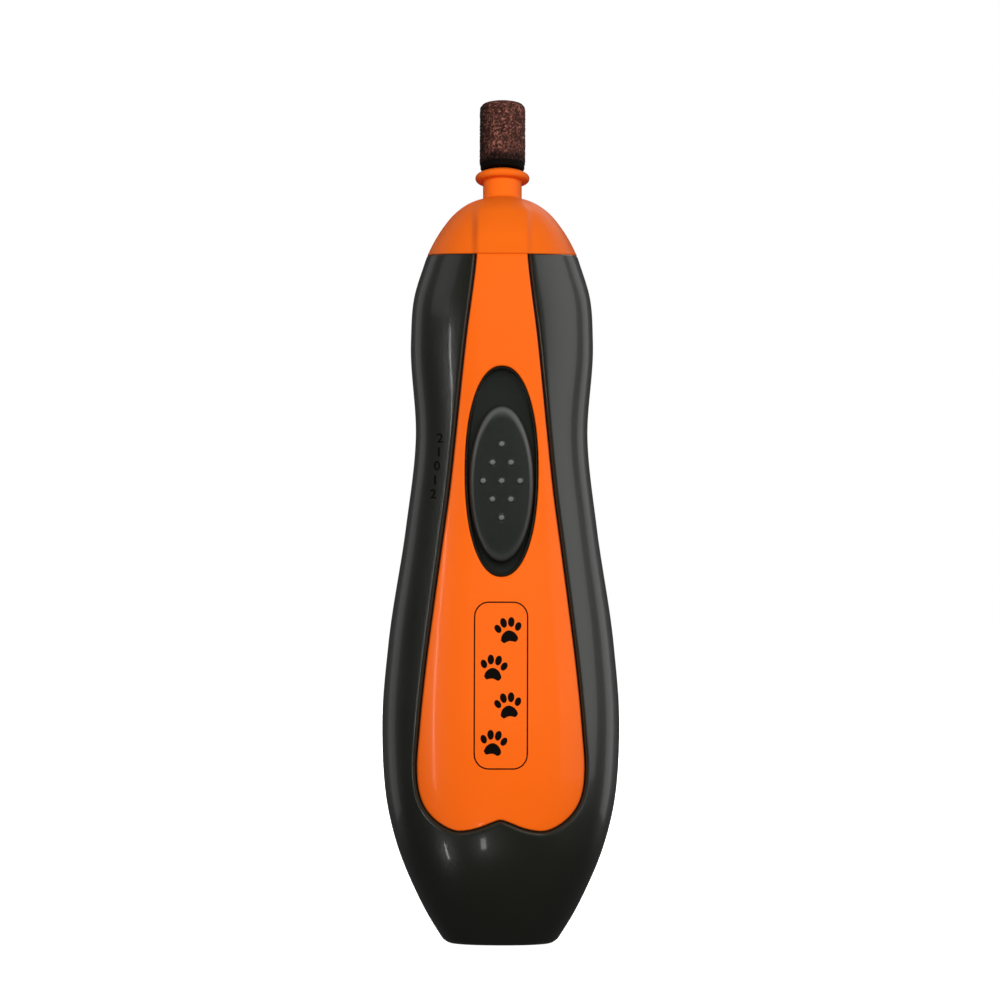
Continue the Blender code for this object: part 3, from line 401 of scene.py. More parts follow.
def add_block(bm, low, high, rounding=0.0):
    """A box with rounded edges."""
    made = bmesh.ops.create_cube(bm, size=1.0)["verts"]
    size = [(b - a) * MM for a, b in zip(low, high)]
    middle = Vector([(a + b) / 2 * MM for a, b in zip(low, high)])
    bmesh.ops.scale(bm, vec=size, verts=made)
    bmesh.ops.translate(bm, vec=middle, verts=made)
    if rounding:
        edges = list({edge for vert in made for edge in vert.link_edges})
        bmesh.ops.bevel(bm, geom=edges, offset=rounding * MM, segments=2, profile=0.5, affect="EDGES")


def add_turned(bm, profile, point_at, count=48):
    """A profile of (radius, height) turned about a line. point_at gives a point from (x, forward, height)."""
    loops = []
    for radius, height in profile:
        reach = max(radius, LEAST_RADIUS)
        loops.append([point_at(reach * math.cos(a), reach * math.sin(a), height) for a in ring_angles(count)])
    add_skin(bm, loops, "filled")


def turned(name, profile, point_at, count):
    bm = bmesh.new()
    add_turned(bm, profile, point_at, count)
    return to_object(name, bm)


def place(obj, material, body, slot, nodes=()):
    """Gives a piece its finish and its body, and hides the frame's nodes that it stands for; slot is not
    used.
    """
    obj.data.materials.append(material)
    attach(obj, body)
    if nodes:
        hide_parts(*nodes)
    return obj


def carve(obj, cutter, sharp):
    """Cuts one solid out of another, drops the cutter and shades what is left."""
    boolean = obj.modifiers.new("carve", "BOOLEAN")
    boolean.operation = "DIFFERENCE"
    boolean.solver = "EXACT"
    boolean.object = cutter
    bpy.context.view_layer.update()
    graph = bpy.context.evaluated_depsgraph_get()
    mesh = bpy.data.meshes.new_from_object(obj.evaluated_get(graph))
    obj.modifiers.clear()
    obj.data = mesh
    bpy.data.objects.remove(cutter)
    mesh.shade_smooth()
    mesh.set_sharp_from_angle(angle=math.radians(sharp))


# Finishes

class Value:
    """A number or colour worked out in a material. Sums on it add Math nodes."""

    def __init__(self, recipe, socket):
        self.recipe = recipe
        self.socket = socket

    def math(self, operation, a, b):
        return self.recipe.node("ShaderNodeMath", {"operation": operation}, {0: a, 1: b})

    def __add__(self, other):
        return self.math("ADD", self, other)

    __radd__ = __add__

    def __sub__(self, other):
        return self.math("SUBTRACT", self, other)

    def __rsub__(self, other):
        return self.math("SUBTRACT", other, self)

    def __mul__(self, other):
        return self.math("MULTIPLY", self, other)

    __rmul__ = __mul__


class Recipe:
    """The node tree of one finish."""

    def __init__(self, name):
        self.material = bpy.data.materials.new(name)
        self.material.use_nodes = True
        self.tree = self.material.node_tree
        self.shader = self.tree.nodes["Principled BSDF"]
        self.places = self.node("ShaderNodeTexCoord", output="Object")

    def node(self, kind, settings=None, sockets=None, output=0):
        """A node of a kind, with its settings, and its sockets fed with numbers or other values."""
        made = self.tree.nodes.new(kind)
        for key, value in (settings or {}).items():
            if key == "stops":
                self.set_stops(made.color_ramp, value)
            else:
                setattr(made, key, value)
        for key, value in (sockets or {}).items():
            self.feed(made.inputs[key], value)
        return Value(self, made.outputs[output])

    def feed(self, socket, value):
        if isinstance(value, Value):
            self.tree.links.new(value.socket, socket)
        else:
            socket.default_value = value

    def set_stops(self, ramp, stops):
        while len(ramp.elements) < len(stops):
            ramp.elements.new(0.5)
        for element, (position, shade) in zip(ramp.elements, stops):
            element.position = position
            element.color = (shade, shade, shade, 1.0)

    def set(self, **values):
        """Feeds the shader: set(Base_Color=..., Roughness=...)."""
        for key, value in values.items():
            self.feed(self.shader.inputs[key.replace("_", " ")], value)
        return self

    def noise(self, size, detail=3.0, rough=0.5, stretch=(1.0, 1.0, 1.0)):
        """Soft blotches about size millimetres across."""
        where = self.stretched(stretch)
        sockets = {"Vector": where, "Scale": 1 / (size * MM), "Detail": detail, "Roughness": rough}
        return self.node("ShaderNodeTexNoise", sockets=sockets)

    def stretched(self, stretch):
        return self.node("ShaderNodeMapping", sockets={"Vector": self.places, "Scale": stretch})

    def grains(self, size, output="Color"):
        """Cells about size millimetres across, each with its own random colour."""
        sockets = {"Vector": self.places, "Scale": 1 / (size * MM)}
        return self.node("ShaderNodeTexVoronoi", sockets=sockets, output=output)

    def ramp(self, value, *stops):
        return self.node("ShaderNodeValToRGB", {"stops": stops}, {"Fac": value})

    def edge(self, name="rim"):
        """A number stored at each point of the mesh, read by name: where painted shade, painted highlights, a
        painted reflection or a printed band go.
        """
        return self.node("ShaderNodeAttribute", {"attribute_name": name}, output="Fac")

    def mix(self, factor, a, b):
        """One colour into another."""
        sockets = {0: factor, 6: self.tint(a), 7: self.tint(b)}
        return self.node("ShaderNodeMix", {"data_type": "RGBA"}, sockets, output=2)

    def tint(self, value):
        return value if isinstance(value, Value) else (*value, 1.0)

    def bump(self, height, depth, under=None):
        """Raises the surface by depth millimetres where height is 1."""
        sockets = {"Height": height, "Distance": depth * MM, "Strength": 1.0}
        if under is not None:
            sockets["Normal"] = under
        return self.node("ShaderNodeBump", sockets=sockets)


def shade(base, factor):
    return tuple(min(1.0, part * factor) for part in base)


FINISHES = {}


def finish(fill):
    """Makes the finish that a function fills in, under the function's name, when it is first asked for."""
    name = fill.__name__

    def kept():
        if name not in FINISHES:
            recipe = Recipe(f"{name}_finish")
            fill(recipe)
            FINISHES[name] = recipe.material
        return FINISHES[name]
    return kept


def colours():
    return bpy.context.scene.grinder_colours


def sizes():
    return bpy.context.scene.grinder_sizes


def moulded(recipe, base, rough, cloud=0.12, grain=0.012, scuffed=0.10, lip_reflection_tint=None):
    """Moulded plastic: faint clouding, a fine grain, hairline scuffs and, where a rim tint is given, a
    painted reflection of the orange panel on the marked rims.
    """
    clouds = recipe.noise(14.0, 4.0)
    specks = recipe.noise(0.6, 2.0)
    scuffs = recipe.ramp(recipe.noise(1.6, 6.0, 0.75, (1.0, 1.0, 0.12)), (0.62, 0.0), (0.78, 1.0))
    colour = recipe.mix(clouds, shade(base, 1 - cloud), shade(base, 1 + cloud))
    colour = recipe.mix(scuffs * scuffed, colour, shade(base, 2.0))
    # The marked rims are painted towards the tint, a painted reflection of the orange panel.
    if lip_reflection_tint:
        colour = recipe.mix(recipe.edge() * (0.4 + 0.3 * specks), colour, lip_reflection_tint)
    rough_map = rough - 0.05 + 0.08 * clouds + 0.05 * specks + scuffs * scuffed
    fine = recipe.bump(recipe.noise(0.22, 2.0), grain)
    recipe.set(Base_Color=colour, Roughness=rough_map, Normal=recipe.bump(clouds, 0.05, fine), IOR=1.47)


@finish
def panel_plastic(recipe):
    moulded(recipe, colours().panel, 0.36, 0.03, 0.003, 0.02)
    recipe.set(Specular_IOR_Level=0.2, Coat_Weight=0.12, Coat_Roughness=0.09)


@finish
def nose_plastic(recipe):
    """The same plastic, duller from handling, with painted shade in the crease beside the ridge."""
    base = colours().panel
    dull = (base[0] * 0.97, base[1] * 1.08, base[2] * 1.6)
    painted_crease_shade = (base[0] * 0.55, base[1] * 0.5, base[2])
    moulded(recipe, dull, 0.42, 0.03, 0.003, 0.02)
    handled = recipe.mix(recipe.noise(9.0), shade(dull, 0.98), shade(dull, 1.04))
    # The crease beside the ridge is painted darker: painted shade.
    recipe.set(Base_Color=recipe.mix(recipe.edge() * 0.4, handled, painted_crease_shade), Specular_IOR_Level=0.1)


@finish
def casing_plastic(recipe):
    # The tan rim tint is a painted reflection of the orange panel on the casing's lip.
    moulded(recipe, colours().casing, 0.36, 0.14, 0.006, 0.06, (0.055, 0.034, 0.019))
    recipe.set(Specular_IOR_Level=0.6, Coat_Weight=0.3, Coat_Roughness=0.09)


@finish
def button_plastic(recipe):
    base = colours().button
    moulded(recipe, base, 0.45, 0.2, 0.014)
    colour = recipe.mix(recipe.noise(1.3, 5.0, 0.7), shade(base, 0.7), shade(base, 1.35))
    # The dots are painted pale grey: a painted highlight on their domes.
    colour = recipe.mix(recipe.edge("dot"), colour, (0.13, 0.14, 0.13))
    # A band inside the outline is painted lighter, more towards the top: a painted highlight on the rounded
    # edge.
    recipe.set(Base_Color=recipe.mix(recipe.edge() * 0.7, colour, (0.10, 0.105, 0.10)))


@finish
def tray_plastic(recipe):
    moulded(recipe, colours().tray, 0.45, 0.2, 0.02)


@finish
def inner_plastic(recipe):
    moulded(recipe, (0.018, 0.018, 0.019), 0.5, 0.15, 0.02)


@finish
def red_insulation(recipe):
    moulded(recipe, (0.42, 0.012, 0.012), 0.42, 0.15, 0.01)


@finish
def black_insulation(recipe):
    moulded(recipe, (0.012, 0.012, 0.012), 0.42, 0.15, 0.01)


@finish
def rubber(recipe):
    moulded(recipe, (0.0035, 0.0028, 0.0022), 0.85, 0.25, 0.05)
    recipe.set(Specular_IOR_Level=0.12)


@finish
def print_ink(recipe):
    worn = recipe.noise(0.5, 4.0, 0.7)
    base = colours().ink
    recipe.set(Base_Color=recipe.mix(worn, base, shade(base, 1.8)), Roughness=0.55 + 0.2 * worn,
               Normal=recipe.bump(worn, 0.006), Specular_IOR_Level=0.05)


@finish
def abrasive(recipe):
    """Red-brown oxide grains in dark glue: worn ridges of grit, a few grains painted bright as glints and
    made smoother, and painted shade at the band's foot and left side.
    """
    base = colours().grit
    cells = recipe.grains(0.45)
    lot = recipe.node("ShaderNodeSeparateColor", sockets={"Color": cells})
    glue = recipe.noise(1.6, 4.0, 0.7)
    ridges = recipe.ramp(recipe.noise(0.5, 2.5, 0.65), (0.42, 0.0), (0.58, 1.0))
    glints = recipe.ramp(lot, (0.72, 0.0), (0.85, 1.0)) * ridges
    tone = recipe.mix(ridges, shade(base, 0.45), shade(base, 1.9))
    tone = recipe.mix(recipe.ramp(glue, (0.38, 1.0), (0.56, 0.0)) * 0.6, tone, shade(base, 0.25))
    # Painted highlight: the glint grains are painted brighter, and they are also smoother.
    tone = recipe.mix(glints * 0.75, tone, shade(base, 3.6))
    # Painted shade: the band is painted dark at its foot and down its left side.
    tone = recipe.mix(recipe.edge("foot") * 0.9, tone, (0.004, 0.0022, 0.0015))
    recipe.set(Base_Color=tone, Roughness=0.9 - 0.4 * glints, Normal=recipe.bump(ridges, 0.2),
               Specular_IOR_Level=0.3)


def brushed(recipe, base, rough, stretch=(0.06, 1.0, 1.0)):
    """Drawn or turned metal, with fine lines and a little tarnish."""
    lines = recipe.noise(0.12, 3.0, 0.6, stretch)
    stains = recipe.noise(2.5, 5.0, 0.65)
    colour = recipe.mix(stains, shade(base, 0.72), shade(base, 1.08))
    recipe.set(Base_Color=colour, Metallic=1.0, Roughness=rough - 0.08 + 0.12 * lines + 0.12 * stains,
               Normal=recipe.bump(lines, 0.006))


@finish
def steel(recipe):
    brushed(recipe, (0.56, 0.56, 0.55), 0.3)


@finish
def spring_steel(recipe):
    brushed(recipe, (0.66, 0.65, 0.62), 0.24, (1.0, 1.0, 0.1))


@finish
def copper(recipe):
    brushed(recipe, (0.75, 0.30, 0.16), 0.32, (1.0, 1.0, 0.08))


@finish
def sintered_bronze(recipe):
    """Bronze full of fine oily pores."""
    pores = recipe.ramp(recipe.grains(0.16, "Distance"), (0.0, 1.0), (0.3, 0.0))
    stained = recipe.mix(recipe.noise(1.2, 4.0), (0.34, 0.19, 0.07), (0.5, 0.3, 0.12))
    recipe.set(Base_Color=recipe.mix(pores, stained, (0.05, 0.03, 0.015)), Metallic=1.0 - 0.6 * pores,
               Roughness=0.38 + 0.3 * pores, Normal=recipe.bump(1 - pores, 0.02))


@finish
def felt(recipe):
    fibres = recipe.noise(0.3, 8.0, 0.8, (1.0, 0.3, 1.0))
    recipe.set(Base_Color=recipe.mix(fibres, (0.16, 0.155, 0.14), (0.42, 0.41, 0.38)), Roughness=1.0,
               Normal=recipe.bump(fibres, 0.12), Sheen_Weight=0.3)


@finish
def ferrite(recipe):
    specks = recipe.noise(0.25, 5.0, 0.7)
    recipe.set(Base_Color=recipe.mix(specks, (0.018, 0.018, 0.02), (0.06, 0.06, 0.064)),
               Roughness=0.6 + 0.2 * specks, Normal=recipe.bump(specks, 0.03))


@finish
def circuit_board(recipe):
    """Green solder mask over copper tracks, with the weave of the laminate under it."""
    tracks = recipe.node("ShaderNodeTexBrick", {"offset": 0.35},
                         {"Vector": recipe.stretched((1.0, 0.0, 1.0)), "Scale": 260.0, "Mortar Size": 0.09,
                          "Brick Width": 1.3}, "Fac")
    weave = recipe.node("ShaderNodeTexChecker", None, {"Vector": recipe.places, "Scale": 3800.0}, "Fac")
    clouds = recipe.noise(4.0)
    mask = recipe.mix(clouds, (0.008, 0.075, 0.025), (0.012, 0.11, 0.038))
    recipe.set(Base_Color=recipe.mix(tracks * 0.8, mask, (0.03, 0.2, 0.06)),
               Roughness=0.3 + 0.15 * clouds + 0.05 * weave, Normal=recipe.bump(tracks + 0.15 * weave, 0.03))


@finish
def ceramic(recipe):
    crackle = recipe.noise(0.5, 6.0, 0.7)
    recipe.set(Base_Color=recipe.mix(crackle, (0.42, 0.27, 0.10), (0.58, 0.40, 0.18)),
               Roughness=0.32 + 0.2 * crackle, Normal=recipe.bump(crackle, 0.02))


@finish
def cell_wrap(recipe):
    """The printed film of a cell: a dark body with a pale band by its nub, from the mesh."""
    scuffs = recipe.ramp(recipe.noise(0.8, 6.0, 0.75, (1.0, 1.0, 0.2)), (0.6, 0.0), (0.75, 1.0))
    flakes = recipe.noise(0.08, 2.0)
    body = recipe.mix(flakes, (0.012, 0.045, 0.075), (0.02, 0.075, 0.12))
    band = recipe.mix(flakes, (0.42, 0.43, 0.42), (0.6, 0.6, 0.58))
    colour = recipe.mix(recipe.edge("band"), body, band)
    recipe.set(Base_Color=recipe.mix(scuffs * 0.25, colour, (0.35, 0.35, 0.34)), Metallic=0.35,
               Roughness=0.26 + 0.1 * flakes + 0.2 * scuffs, Normal=recipe.bump(scuffs, 0.01),
               Coat_Weight=0.4, Coat_Roughness=0.1)


def mark(obj, name, strength):
    """Stores a number at each point of a mesh for its finish. strength takes the point in millimetres."""
    layer = obj.data.attributes.new(name, "FLOAT", "POINT")
    layer.data.foreach_set("value", [strength(vert.co / MM) for vert in obj.data.vertices])


# The casing

def panel_line(top=TOP):
    """The front panel's edge in X and Z, from the nose's left down round the lobes and up to its right."""
    side = [*PANEL_SIDE[1:], PANEL_UNDER_NOSE]
    whole = [(-x, z) for x, z in reversed(side)] + [PANEL_SIDE[0]] + side
    fine = smooth_line(whole, 12)
    low = [p for p in fine if p[1] <= top]
    return [crossing(fine, top, -1), *low, crossing(fine, top, 1)]


def crossing(line, height, side):
    """Where a line crosses a height on one side of the middle."""
    for a, b in zip(line, line[1:]):
        if a[0] * side > 0 and (a[1] - height) * (b[1] - height) <= 0 and a[1] != b[1]:
            return (mixed(a[0], b[0], (height - a[1]) / (b[1] - a[1])), height)
    raise ValueError("the line doesn't reach that height")


def base_rows(side, turn, rounding, seam, edge):
    """From the handle's wall round on to the flat base and in to the seam, at one turn."""
    rows = []
    for out, down in quarter(rounding, 6):
        rows.append(on_turn(side, turn, rounding - out, down, seam / 2 + edge))
    rim = on_turn(side, turn, 0.0, rounding)
    for part in (0.3, 0.65, 1.0):
        y = mixed(abs(rim[1]), seam / 2 + edge, part)
        rows.append((rim[0], side * max(y, seam / 2 + edge), 0.0))
    for out, down in quarter(edge, 3)[1:]:
        rows.append((rim[0], side * (seam / 2 + edge - out), down))
    return rows


def seam_rows(side, sign, z, seam, edge):
    """From the handle's wall over its rounded edge to the seam beside it."""
    rolled = []
    for out, down in quarter(edge, 3):
        width, depth = section(z, side, down)
        y = seam / 2 + edge - out
        x = width * max(0.0, 1 - (y / depth) ** SQUARENESS) ** (1 / SQUARENESS)
        rolled.append((sign * x, side * y, z))
    return rolled


def rim_rows(side, turn, edge):
    """The same for the top edge, under the nose."""
    return [on_turn(side, turn, TOP - edge + out, down) for out, down in quarter(edge, 3)]


TAIL = 14  # points kept for a section's rolled edge
LOBE_POINTS = 150  # round the panel's lobes, and up each of its sides
SIDE_POINTS = 96
FRONT_ROWS = 30  # of faces over the skin
REAR_ROWS = 44
ROWS_IN = 8
LEDGE = 1.5  # how far the ledge under the panel stands in from its edge


def front_casing():
    """The front half: a band round the panel's opening, its lip, its rounded edges and its inner face."""
    lip, form = sizes().lip / MM, casing_form()
    line = panel_line()
    split = [i for i, p in enumerate(line) if p[1] < LOBE_TOP]
    low = along(line[split[0]:split[-1] + 1], LOBE_POINTS)
    left = along(line[:split[0] + 1], SIDE_POINTS)[:-1]
    line = left + low + [(-x, z) for x, z in reversed(left)]
    first, last = len(left), len(left) + len(low) - 1
    outside = pushed(line, lip * 1.05)
    lines = {lip - out: pushed(line, lip - out) for out, _ in quarter(lip, 6)}
    lines.update({0.0: line, -LEDGE: pushed(line, -LEDGE)})

    loops = []
    for i, (x, z) in enumerate(line):
        if i < first:
            end = ("left", z)
        elif i > last:
            end = ("right", z)
        else:
            end = bottom_end((i - first) / (last - first), LOBE_TOP, form[2])

        def lip_point(distance, inset):
            spot = lines[distance][i]
            return on_face(FRONT, spot[0], min(spot[1], TOP), inset)

        head = [lip_point(-LEDGE, WALL), lip_point(-LEDGE, PANEL_RECESS), lip_point(0.0, PANEL_RECESS)]
        head += [lip_point(lip - out, down) for out, down in reversed(quarter(lip, 6))]
        spot = (outside[i][0], min(outside[i][1], TOP))
        loops.append(half_section(FRONT, head, (turn_of(*spot), spot[1]), end, form, FRONT_ROWS))
    edge = form[1]
    loops = crowned(loops[0], edge) + loops[1:-1] + list(reversed(crowned(loops[-1], edge)))
    obj = skin("front_casing", loops, "filled")
    # Marks the lip's foot, which the casing's finish paints with a reflection of the orange panel.
    mark(obj, "rim", rim_reader(pushed(line, lip * 0.12)))
    return place(obj, casing_plastic(), "housing", "grip_plastic", ["front_shell"])


def casing_form():
    """The seam's width and the radii of the casing's edges and of its foot."""
    return sizes().seam / MM, sizes().seam_rounding / MM, sizes().base_rounding / MM


def crowned(loop, edge):
    """The section at the top rim, as the few loops that round the rim's edge."""
    rows = []
    for out, down in reversed(quarter(edge, 3)):
        rows.append([(x * (1 - down / math.hypot(x, y)), y * (1 - down / math.hypot(x, y)), z - edge + out)
                     for x, y, z in loop])
    return rows


def bottom_end(part, start, rounding):
    """Where a line from the lobes ends on the lower edge: down the left seam, along and up the right."""
    drop = start - rounding
    across = 30.0  # the base's share of the way, against the seams' own height
    reach = part * (2 * drop + across)
    if reach < drop:
        return ("left", start - reach)
    if reach > drop + across:
        return ("right", rounding + reach - drop - across)
    return ("base", math.pi * (reach - drop) / across)


def half_section(side, head, start, end, form, rows_out):
    """One closed section of a casing half: its head, then out over the skin to its end, over the rolled
    edge there, and back along the inner face. start is a turn and a height."""
    seam, edge, rounding = form
    start_turn, start_z = start
    kind, value = end
    if kind == "base":
        end_turn, end_z = value, rounding
        tail = base_rows(side, value, rounding, seam, edge)
        inner = [(tail[-1][0] * 0.9, side * seam / 2, WALL),
                 on_turn(side, value, max(WALL, rounding), WALL, seam / 2)]
    elif kind == "top":
        end_turn, end_z = value, TOP - edge
        tail = rim_rows(side, value, edge)
        inner = [on_turn(side, value, TOP, WALL - 0.3), on_turn(side, value, TOP - 0.3, WALL)]
    else:
        sign = -1 if kind == "left" else 1
        end_turn, end_z = turn_near_seam(side, sign, value, seam / 2 + edge), value
        tail = seam_rows(side, sign, value, seam, edge)
        inside = on_turn(side, end_turn, max(value, WALL), WALL, seam / 2)
        inner = [(inside[0], side * seam / 2, inside[2]), inside]

    def between(t, low, inset):
        height = max(low, mixed(start_z, end_z, t))
        return on_turn(side, mixed(start_turn, end_turn, t), height, inset)

    out = [between(k / rows_out, 0.0, 0.0) for k in range(1, rows_out)]
    back = [between(1 - k / ROWS_IN, WALL, WALL) for k in range(1, ROWS_IN)]
    return [*head, *out, *fitted(tail), *inner, *back]


def fitted(tail):
    """Repeats the first point, so that every section has as many."""
    return [tail[0]] * (TAIL - len(tail)) + tail


def turn_near_seam(side, sign, z, y):
    """The turn at which the handle's wall is y from the seam's plane."""
    depth = section(z, side)[1]
    angle = math.asin(min(1.0, (y / depth)) ** (SQUARENESS / 2))
    return angle if sign < 0 else math.pi - angle


def rim_reader(line):
    """Reads how near a point is to the inner foot of the lip."""
    spots = [Vector(p) for p in line]
    pieces = list(zip(spots, spots[1:]))

    def read(p):
        if p.y > -5.0 or abs(p.x) > 22.0:  # far from the lip
            return 0.0
        here = Vector((p.x, p.z))
        near = sorted(pieces, key=lambda piece: (piece[0] - here).length_squared)[:3]
        reach = 9.0
        for start, end in near:
            way = end - start
            t = max(0.0, min(1.0, (here - start).dot(way) / max(way.length_squared, 1e-9)))
            reach = min(reach, (here - start - way * t).length)
        return 1.0 - fade(reach, 0.12, 0.3)
    return read


def rounded_rectangle(half_width, low, high, radius, shift=0.0):
    """A rectangle with round corners in X and Z: down its left side, along, up and back. Each side is a list
    of its own, and runs from the middle of one corner to the middle of the next."""
    half_width, low, high, radius = half_width + shift, low - shift, high + shift, radius + shift
    middles = [(-half_width + radius, high - radius), (-half_width + radius, low + radius),
               (half_width - radius, low + radius), (half_width - radius, high - radius)]
    starts = [math.radians(135), math.radians(225), math.radians(315), math.radians(45)]
    sides = []
    for n in range(4):
        (x, z), (x2, z2) = middles[n], middles[(n + 1) % 4]
        first = [starts[n] + math.radians(45) * i / 8 for i in range(9)]
        second = [starts[n] + math.radians(45) * (1 + i / 8) for i in range(9)]
        side = [(x + radius * math.cos(a), z + radius * math.sin(a)) for a in first]
        side += [(x2 + radius * math.cos(a), z2 + radius * math.sin(a)) for a in second]
        sides.append(side)
    return sides


REAR_COUNTS = (96, 56, 96, 56)


def door_ring(distance):
    """The door's opening, pushed out by distance, as one loop of points."""
    sides = rounded_rectangle(DOOR_HALF_WIDTH, DOOR_BOTTOM, DOOR_TOP, DOOR_CORNER, distance)
    ring = []
    for side, count in zip(sides, REAR_COUNTS):
        ring += along(side, count + 1)[:-1]
    return ring


def rear_casing():
    """The rear half: a band round the battery door's opening, with rounded edges and wells for the screws."""
    form = casing_form()
    seam, edge, rounding = form
    lip = [(door_ring(edge - out), down) for out, down in reversed(quarter(edge, 3))]
    hole, outside = door_ring(0.0), door_ring(edge)
    crown = TOP - edge
    low_turn, high_turn = (turn_near_seam(BACK, sign, crown, seam / 2 + edge) for sign in (-1, 1))
    ends = []
    for n, count in enumerate(REAR_COUNTS):
        for k in range(count):
            t = k / count
            ends.append([("left", mixed(crown, rounding, t)), ("base", math.pi * t),
                         ("right", mixed(rounding, crown, t)), ("top", mixed(high_turn, low_turn, t))][n])
    loops = []
    for i, end in enumerate(ends):
        head = [on_face(BACK, *hole[i], WALL)] + [on_face(BACK, *ring[i], down) for ring, down in lip]
        loops.append(half_section(BACK, head, (turn_of(*outside[i]), outside[i][1]), end, form, REAR_ROWS))
    obj = skin("rear_casing", loops, "joined")
    cutters = bmesh.new()
    for spot in screw_spots():
        add_turned(cutters, [(WELL_RADIUS, SCREW_SEAT), (WELL_RADIUS, 30.0)], along_screw(*spot), 40)
    carve(obj, to_object("well_cutter", cutters), 38)
    return place(obj, casing_plastic(), "housing", "grip_plastic", ["rear_shell"])


def along_screw(x, z):
    """Points by the axis of a screw that runs front to back through (x, z)."""
    return lambda across, down, y: (x + across, y, z - down)


def screw_spots():
    return [(side * across, z) for across, z in SCREW_PLACES for side in (-1, 1)]


def screw_wells():
    """The sleeve that each casing screw's head sits in."""
    outer, inner, foot = 2.95, 1.35, SCREW_SEAT - 1.2
    bm = bmesh.new()
    for x, z in screw_spots():
        depth = abs(on_face(BACK, abs(x) + 2.6, z)[1]) - 0.7
        profile = [(inner, foot), (outer, foot), (outer, depth), (WELL_RADIUS, depth),
                   (WELL_RADIUS, SCREW_SEAT), (inner, SCREW_SEAT)]
        point_at = along_screw(x, z)
        add_skin(bm, [[point_at(radius * math.cos(a), radius * math.sin(a), y) for a in ring_angles(40)]
                      for radius, y in profile], "joined")
    return place(to_object("screw_wells", bm), casing_plastic(), "housing", "grip_plastic")


def battery_door():
    """The door: a curved lid with rounded edges, a ribbed thumb grip at its top and a hook at its foot."""
    gap, edge = 0.18, sizes().seam_rounding / MM
    middle = (DOOR_BOTTOM + DOOR_TOP) / 2
    rim = door_ring(-gap - edge)

    def shrunk(t, inset=0.0):
        return [on_face(BACK, x * t, mixed(middle, z, t), inset) for x, z in rim]

    bm = bmesh.new()
    loops = [[on_face(BACK, x, z, WALL) for x, z in door_ring(-gap - 0.3)]]
    for out, down in reversed(quarter(edge, 3)):
        loops.append([on_face(BACK, x, z, down) for x, z in door_ring(-gap - out)])
    steps = 26
    loops += [shrunk(1 - k / steps) for k in range(1, steps)]
    back = [shrunk(t, WALL) for t in (0.05, 0.35, 0.7)]
    add_skin(bm, loops)
    add_skin(bm, [*back, loops[0]])
    add_cap(bm, loops[-1])
    add_cap(bm, back[0])
    add_skin(bm, thumb_grip(), closed=False)
    hook = (((-3.0, 14.0, 15.9), (3.0, 15.0, 20.5)), ((-3.0, 14.2, 18.9), (3.0, 17.6, 20.4)))
    for low, high in hook:
        add_block(bm, low, high, 0.3)
    for x in (-12.3, 12.3):  # the stiffening ribs
        add_block(bm, (x - 0.5, 13.2, 24.0), (x + 0.5, 16.6, 67.0), 0.2)
    return place(to_object("battery_lid", bm), casing_plastic(), "door", "grip_plastic", ["battery_door"])


def thumb_grip():
    """An arched pad of fine ribs that stands a little proud of the door."""
    rows = []
    low, high, half = 58.5, 68.5, 7.5
    pitch, bend = 1.5, 1.6
    count, across = 110, 56
    for i in range(count + 1):
        z = mixed(low, high, i / count)
        row = []
        for j in range(across + 1):
            x = mixed(-half, half, j / across)
            arch = z - bend * (1 - (x / half) ** 2)
            inside = min(fade(half - abs(x), 0.0, 1.2), fade(z - low, 0.0, 0.8), fade(high - z, 0.0, 0.8))
            rib = 0.5 + 0.5 * math.cos(2 * math.pi * (arch - low) / pitch)
            row.append(on_face(BACK, x, z, 0.12 - inside * (0.14 + 0.34 * rib**0.7)))
        rows.append(row)
    return rows


# The front panel and what is on it

def polar_plate(name, line, hole, face, back, edge, rows):
    """A curved plate with an oval hole: loops from its own edge in to the hole. face and back are how deep
    its two surfaces lie under the handle's."""
    half_width, half_length = hole
    bm = bmesh.new()
    roll = quarter(edge, 4)

    def outline(distance):
        return pushed(line, -distance, closed=True) if distance else line

    def oval_line(grow):
        found = []
        for x, z in line:
            way = Vector((x, z - OVAL_CENTRE)).normalized()
            reach = oval_ray(way, half_width + grow, half_length + grow, OVAL_POWER)
            found.append((way.x * reach, OVAL_CENTRE + way.y * reach))
        return found

    def at(points, inset):
        return [on_face(FRONT, x, z, inset) for x, z in points]

    loops = [at(outline(0.0), back)]
    for out, down in reversed(roll):
        loops.append(at(outline(edge - out), face + down))
    outer, inner = outline(edge), oval_line(edge)
    for k in range(1, rows):
        t = k / rows
        points = [(mixed(a[0], b[0], t), mixed(a[1], b[1], t)) for a, b in zip(outer, inner)]
        loops.append(at(points, face))
    for out, down in roll:
        loops.append(at(oval_line(edge - out), face + down))
    loops.append(at(oval_line(0.0), back))
    add_skin(bm, loops, "joined")
    return to_object(name, bm)


def closed_panel_line(gap):
    """The panel's whole outline, with its straight top under the nose, drawn in by gap."""
    line = along(panel_line(TOP + 0.1), 420)
    line = pushed(line, -gap)
    left, right = line[0], line[-1]
    top = [(mixed(right[0], left[0], i / 24), mixed(right[1], left[1], i / 24)) for i in range(1, 24)]
    return line + top


def front_panel():
    line = closed_panel_line(sizes().panel_gap / MM)
    obj = polar_plate("panel", line, (OVAL_HALF_WIDTH, OVAL_HALF_LENGTH), 0.0, PANEL_THICKNESS,
                      sizes().panel_edge / MM, 46)
    return place(obj, panel_plastic(), "housing", "orange_plastic", ["front_panel"])


